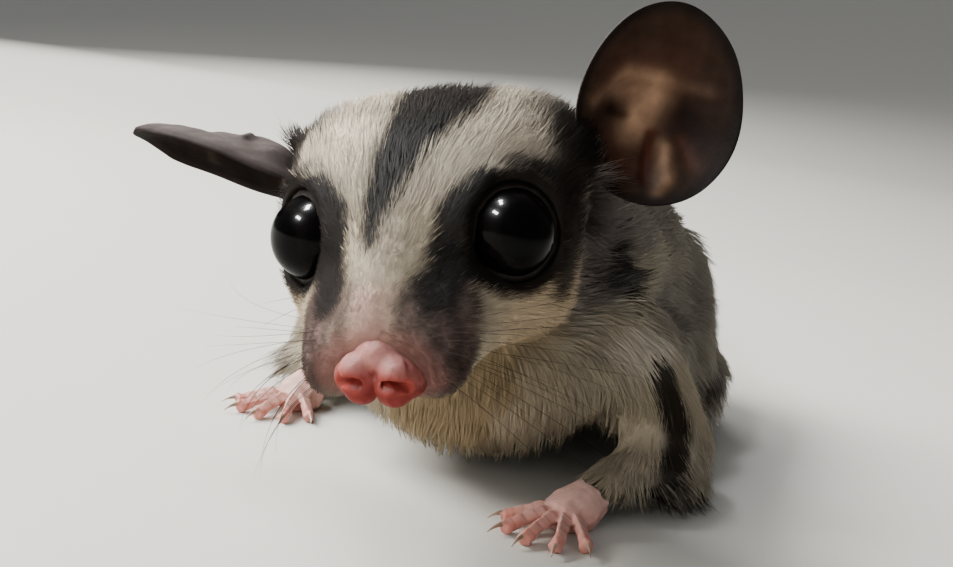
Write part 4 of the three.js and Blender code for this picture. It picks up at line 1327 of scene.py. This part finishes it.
# The digits of each paw: their spread in degrees, their length and their claw's length. Then the paws'
# headings in degrees and the radii of their palms.
DIGITS = {
    "forepaw": ((-44, 4.4, 1.4), (-21, 6.1, 1.7), (-1, 6.8, 1.8), (19, 6.5, 1.8), (40, 5.2, 1.6)),
    "hindpaw": ((-27, 6.4, 1.4), (-11, 6.8, 1.4), (9, 8.6, 1.9), (31, 7.8, 1.8)),
}
PAW_HEADING = {"forepaw_left": -12, "forepaw_right": -6, "hindpaw_left": 10, "hindpaw_right": -18}
PAW_SIZE = {"forepaw": 3.1, "hindpaw": 3.5}
# How far from a palm's middle its digits start and how thick it is, both against its radius, how high the
# claws sit against that thickness, and the heights of a digit's middle at its root and at its tip.
DIGIT_START, PALM_THICK, CLAW_RISE = 0.62, 0.27, 1.15
DIGIT_HEIGHTS = (1.35, 0.7)


def palm_place(limb, word):
    return leg_lines({"forepaw": "foreleg", "hindpaw": "hindleg"}[limb], word)[-1]


def digit_ways(limb, word):
    """Each digit's way over the floor, its length and its claw's length."""
    for spread, long, claw in DIGITS[limb]:
        turned = math.radians(PAW_HEADING[f"{limb}_{word}"] + spread * SIDES[word])
        yield np.array((math.sin(turned), -math.cos(turned), 0)), long, claw


def make_claws(word, limb):
    """A hooked claw at the end of each digit."""
    pieces = bmesh.new()
    size = PAW_SIZE[limb]
    for way, long, claw in digit_ways(limb, word):
        bm = bmesh.new()
        bmesh.ops.create_cone(bm, cap_ends=True, segments=10, radius1=0.4, radius2=0.05, depth=1)
        for height in (-0.3, -0.1, 0.1, 0.3):
            geom = bm.verts[:] + bm.edges[:] + bm.faces[:]
            bmesh.ops.bisect_plane(bm, geom=geom, plane_co=(0, 0, height), plane_no=(0, 0, 1))
        mesh = mesh_from(bm, "claw")
        local = coordinates(mesh) * MM
        t = local[:, 2] + 0.5
        tip = palm_place(limb, word) + way * (size * DIGIT_START + long)
        start = tip * np.array((1, 1, 0)) + np.array((0, 0, size * PALM_THICK * CLAW_RISE)) + way * 0.25
        aside = np.array((-way[1], way[0], 0))
        reach = claw + 0.7
        places = (start + np.outer(t * reach, way) + np.outer(0.55 * t - 1.15 * t * t, (0, 0, 1))
                  + np.outer(local[:, 0] * 0.75, aside) + np.outer(local[:, 1], (0, 0, 1)))
        places[:, 2] = np.maximum(places[:, 2], 0.05)
        set_coordinates(mesh, places)
        pieces.from_mesh(mesh)
        bpy.data.meshes.remove(mesh)
    bmesh.ops.recalc_face_normals(pieces, faces=pieces.faces)
    mesh = mesh_from(pieces, f"claws_{limb}_{word}")
    smooth_faces(mesh)
    finish_piece(new_object(mesh.name, mesh), "horn", "bare_skin")


def make_paw(word, limb):
    """A bare paw with creases across its digits and rosy tips."""
    name = f"{limb}_{word}"
    mesh = remeshed(f"bare_{name}", merged_copy([name]), 0.17, 4)
    places, normals = coordinates(mesh), vertex_normals(mesh)
    palm = palm_place(limb, word)
    tone = mix(np.tile(PINK, (len(places), 1)), PAW_TOP, step(places[:, 2], 1, 4))
    crease = np.zeros(len(places))
    size = PAW_SIZE[limb]
    for way, long, _ in digit_ways(limb, word):
        base = palm + way * size * DIGIT_START
        base[2] = DIGIT_HEIGHTS[0]
        tip = base + way * long
        tip[2] = DIGIT_HEIGHTS[1]
        away = away_from_segment(places, base, tip)
        along = (places - base) @ way / long
        near = (1 - step(away, 0.8, 1.5)) * step(along, 0.05, 0.25)
        folds = np.clip(np.cos(along * 26), 0, 1)
        crease += near * folds**4
        rosy = near * step(along, 0.75, 1)
        # The creases are painted a darker red: partly the skin's own colour, partly painted shade in the
        # folds.
        tone = painted(tone, (PAD_RED, rosy * 0.7), (CREASE_RED_AND_SHADE, near * folds**6 * 0.6))
    set_coordinates(mesh, places - normals * (0.06 * crease + 0.04 * ripple(places, 0.9, 61))[:, None])
    wrinkles = 0.5 + 0.5 * ripple(places, 1.1, 62)
    tone = tone * (0.86 + 0.2 * wrinkles)[:, None]
    coloured_piece(f"bare_{name}", mesh, tone, "bare", "bare_skin", name)


skin_tree = BVHTree.FromPolygons((skin_inner * MM).tolist(), skin_triangles.tolist())


def on_skin(h):
    """The nearest places on the skin to some places in the head."""
    return np.array([skin_tree.find_nearest(p * MM)[0] for p in from_head(h)]) / MM


def long_hairs(name, roots, ways, bends, lengths, width, colour, rings):
    """Single hairs on the head, from their roots, the ways they point there and how they bend."""
    at = (np.arange(rings + 1) / rings)[None, :, None]
    reach = lengths[:, None, None]
    start = on_skin(roots)
    straight = (ways @ HEAD_AXES.T)[:, None] * at * reach
    lines = start[:, None] + (straight + (bends @ HEAD_AXES.T)[:, None] * at**2 * reach)
    ways = unit(lines[:, -1] - lines[:, 0])
    sides = unit(np.cross(ways, np.array((0.1, 0.2, 1))))
    ups = np.cross(sides, ways)
    count = len(roots)
    tones = np.tile(colour, (count, 1))
    colours = np.stack((tones, tones * 1.3), 2)
    places = np.stack((0.02 + 0.9 * np.arange(count) / count, np.full(count, 0.5)), 1)
    mesh = tuft_mesh(name, lines, np.full(count, width), sides, ups, colours, places, rings)
    finish_piece(new_object(name, mesh), "coat", "coat")


# The lone whiskers, as their roots and ways on the left of the head: one over the eye, two on the cheek.
LONE_WHISKERS = (
    ((7.4, -2, 7), (0.6, 0, 1)),
    ((12.6, 0.5, -6.5), (1, 0.2, -0.5)),
    ((13, 1.8, -5.6), (1, 0.4, -0.3)),
)


def make_whiskers(word, side):
    """Four rows of four whiskers on the lip, with the lone ones."""
    rng = np.random.default_rng(71)
    roots, ways, bends, lengths = [], [], [], []
    for row in range(4):
        for place in range(4):
            roots.append((5 + 0.4 * place, -12.4 + 1.2 * place + 0.2 * row, -3.8 - 1.15 * row))
            ways.append((1, -0.1 + 0.18 * place, 0.02 - 0.24 * row))
            bends.append((-0.1, 0.34, -0.12 - 0.06 * row))
            lengths.append(12 + 2.6 * place + 1.5 * (row < 2))
    for root, way in LONE_WHISKERS:
        roots.append(root)
        ways.append(way)
        bends.append((0.05, 0.35, -0.1))
        lengths.append(8)
    mirror = np.array((side, 1, 1))
    count = len(roots)
    roots = np.array(roots) * mirror + rng.normal(0, 0.15, (count, 3))
    ways = unit(np.array(ways) + rng.normal(0, 0.07, (count, 3))) * mirror
    bends = (np.array(bends) + rng.normal(0, 0.05, (count, 3))) * mirror
    lengths = np.array(lengths) * rng.uniform(0.85, 1.15, count)
    long_hairs(f"whiskers_{word}", roots, ways, bends, lengths, 0.075, WHISKER_BLACK, 8)


# The pale hairs in front of an ear: how many, and the ends of the line that their roots lie along.
EAR_TUFT_COUNT = 480
EAR_TUFT_TOP, EAR_TUFT_FOOT = np.array((14.8, 9.6, 2.6)), np.array((14.6, 12, -4))


def make_ear_tuft(word, side):
    """The pale fine hairs that stand out in front of the ear's foot."""
    rng, count = np.random.default_rng(81), EAR_TUFT_COUNT
    mirror = np.array((side, 1, 1))
    spread = rng.random(count)[:, None]
    roots = EAR_TUFT_TOP * (1 - spread) + EAR_TUFT_FOOT * spread
    roots = roots + rng.normal(0, 0.5, (count, 3))
    ways = np.array((0.8, 0.62, 0.1)) + np.array((0, 0, -0.7)) * spread
    ways = unit(ways + rng.normal(0, 0.16, (count, 3)))
    bends = np.array((-0.1, 0.25, -0.2)) + rng.normal(0, 0.06, (count, 3))
    lengths = rng.uniform(2.6, 5.4, count)
    roots, ways, bends = roots * mirror, ways * mirror, bends * mirror
    long_hairs(f"ear_tuft_{word}", roots, ways, bends, lengths, 0.065, MAUVE_GREY * 1.1, 4)


for word, side in SIDES.items():
    make_eye(word, side)
    make_lids(word, side)
    make_ear(word)
    make_whiskers(word, side)
    make_ear_tuft(word, side)
    for limb in DIGITS:
        make_paw(word, limb)
        make_claws(word, limb)
make_nose()


# The camera: its place in body places, its turn to the left, its tilt down and its roll in degrees, and
# its lens and sensor in millimetres.
CAMERA_IN_BODY = (40.568, -105.307, 41.276)
CAMERA_ASIDE, CAMERA_DOWN, CAMERA_ROLL = 18, 8, 9
LENS, SENSOR = 49.1, 36


def camera_axes():
    """The camera's right, up and forward ways."""
    aside, down, roll = (math.radians(v) for v in (CAMERA_ASIDE, CAMERA_DOWN, CAMERA_ROLL))
    flat = math.cos(down)
    forward = np.array((-math.sin(aside) * flat, math.cos(aside) * flat, -math.sin(down)))
    level = np.array((math.cos(aside), math.sin(aside), 0))
    upright = np.cross(level, forward)
    right = math.cos(roll) * level + math.sin(roll) * upright
    up = -math.sin(roll) * level + math.cos(roll) * upright
    return right, up, forward


def make_camera():
    data = bpy.data.cameras.new("camera")
    data.lens = LENS
    data.sensor_width = SENSOR
    data.clip_start = 0.005
    data.clip_end = 20
    camera = new_object("camera", data)
    right, up, forward = camera_axes()
    place = (BODY_ORIGIN + np.array(CAMERA_IN_BODY)) * MM
    axes = Matrix((right, up, -forward)).transposed().to_4x4()
    camera.matrix_world = Matrix.Translation(Vector(place)) @ axes
    bpy.context.scene.camera = camera


def make_floor():
    """A pale floor that curves up into a wall well behind the animal."""
    bm = bmesh.new()
    half, front, back, height, radius = 6, 2.4, 0.3, 3, 6
    ends = [bm.verts.new((x, -front, 0)) for x in (-half, half)]
    edge = bm.edges.new(ends)
    moved = bmesh.ops.extrude_edge_only(bm, edges=[edge])["geom"]
    verts = [g for g in moved if isinstance(g, bmesh.types.BMVert)]
    bmesh.ops.translate(bm, verts=verts, vec=(0, front + back, 0))
    edges = [g for g in moved if isinstance(g, bmesh.types.BMEdge)]
    rim = [e for e in edges if all(v in verts for v in e.verts)]
    spun = bmesh.ops.spin(bm, geom=verts + rim, cent=(0, back, radius), axis=(1, 0, 0),
                          angle=math.pi / 2, steps=16, use_duplicate=False)["geom_last"]
    edges = [g for g in spun if isinstance(g, bmesh.types.BMEdge)]
    moved = bmesh.ops.extrude_edge_only(bm, edges=edges)["geom"]
    verts = [g for g in moved if isinstance(g, bmesh.types.BMVert)]
    bmesh.ops.translate(bm, verts=verts, vec=(0, 0, height))
    mesh = mesh_from(bm, "floor")
    floor = new_object("floor", mesh)
    made, _, _, surface = new_material("pale floor")
    put_values(surface, {"Base Color": (0.62, 0.61, 0.57, 1), "Roughness": 0.9})
    mesh.materials.append(made)
    smooth_faces(mesh)


def area_light(name, way, distance, size, power, colour, glint=False, narrow=1):
    """A light towards the head, placed by camera ways: right, up and back. A glint only mirrors."""
    right, up, forward = camera_axes()
    back = unit(np.array(way, float)) @ np.array((right, up, -forward))
    data = bpy.data.lights.new(name, "AREA")
    data.energy = power
    data.shape = "RECTANGLE"
    data.size = size
    data.size_y = size * narrow
    data.color = colour
    light = new_object(name, data)
    light.visible_glossy = glint
    light.visible_diffuse = not glint
    turned = Vector(back).to_track_quat("Z", "Y").to_matrix().to_4x4()
    light.matrix_world = Matrix.Translation(Vector(HEAD_ORIGIN * MM + back * distance)) @ turned


def make_lights():
    world = bpy.data.worlds.new("room")
    bpy.context.scene.world = world
    world.use_nodes = True
    put_values(world.node_tree.nodes["Background"], {"Color": (0.95, 0.97, 1, 1), "Strength": 0.27})
    area_light("window", (-0.62, 0.74, -0.1), 0.7, 0.42, 14.5, (1, 0.975, 0.93))
    area_light("front", (-0.5, 0.3, 0.8), 0.8, 0.5, 3, (1, 0.95, 0.88))
    area_light("upper glint", (-0.27, 0.95, 0.1), 0.5, 0.12, 20, (1, 1, 1), True, 0.4)
    area_light("lower glint", (-0.53, 0.72, 0.44), 0.5, 0.12, 20, (1, 1, 1), True, 0.4)
    area_light("back", (-0.35, 0.85, -0.9), 1.1, 0.9, 14, (1, 0.99, 0.96))


make_camera()
make_floor()
make_lights()
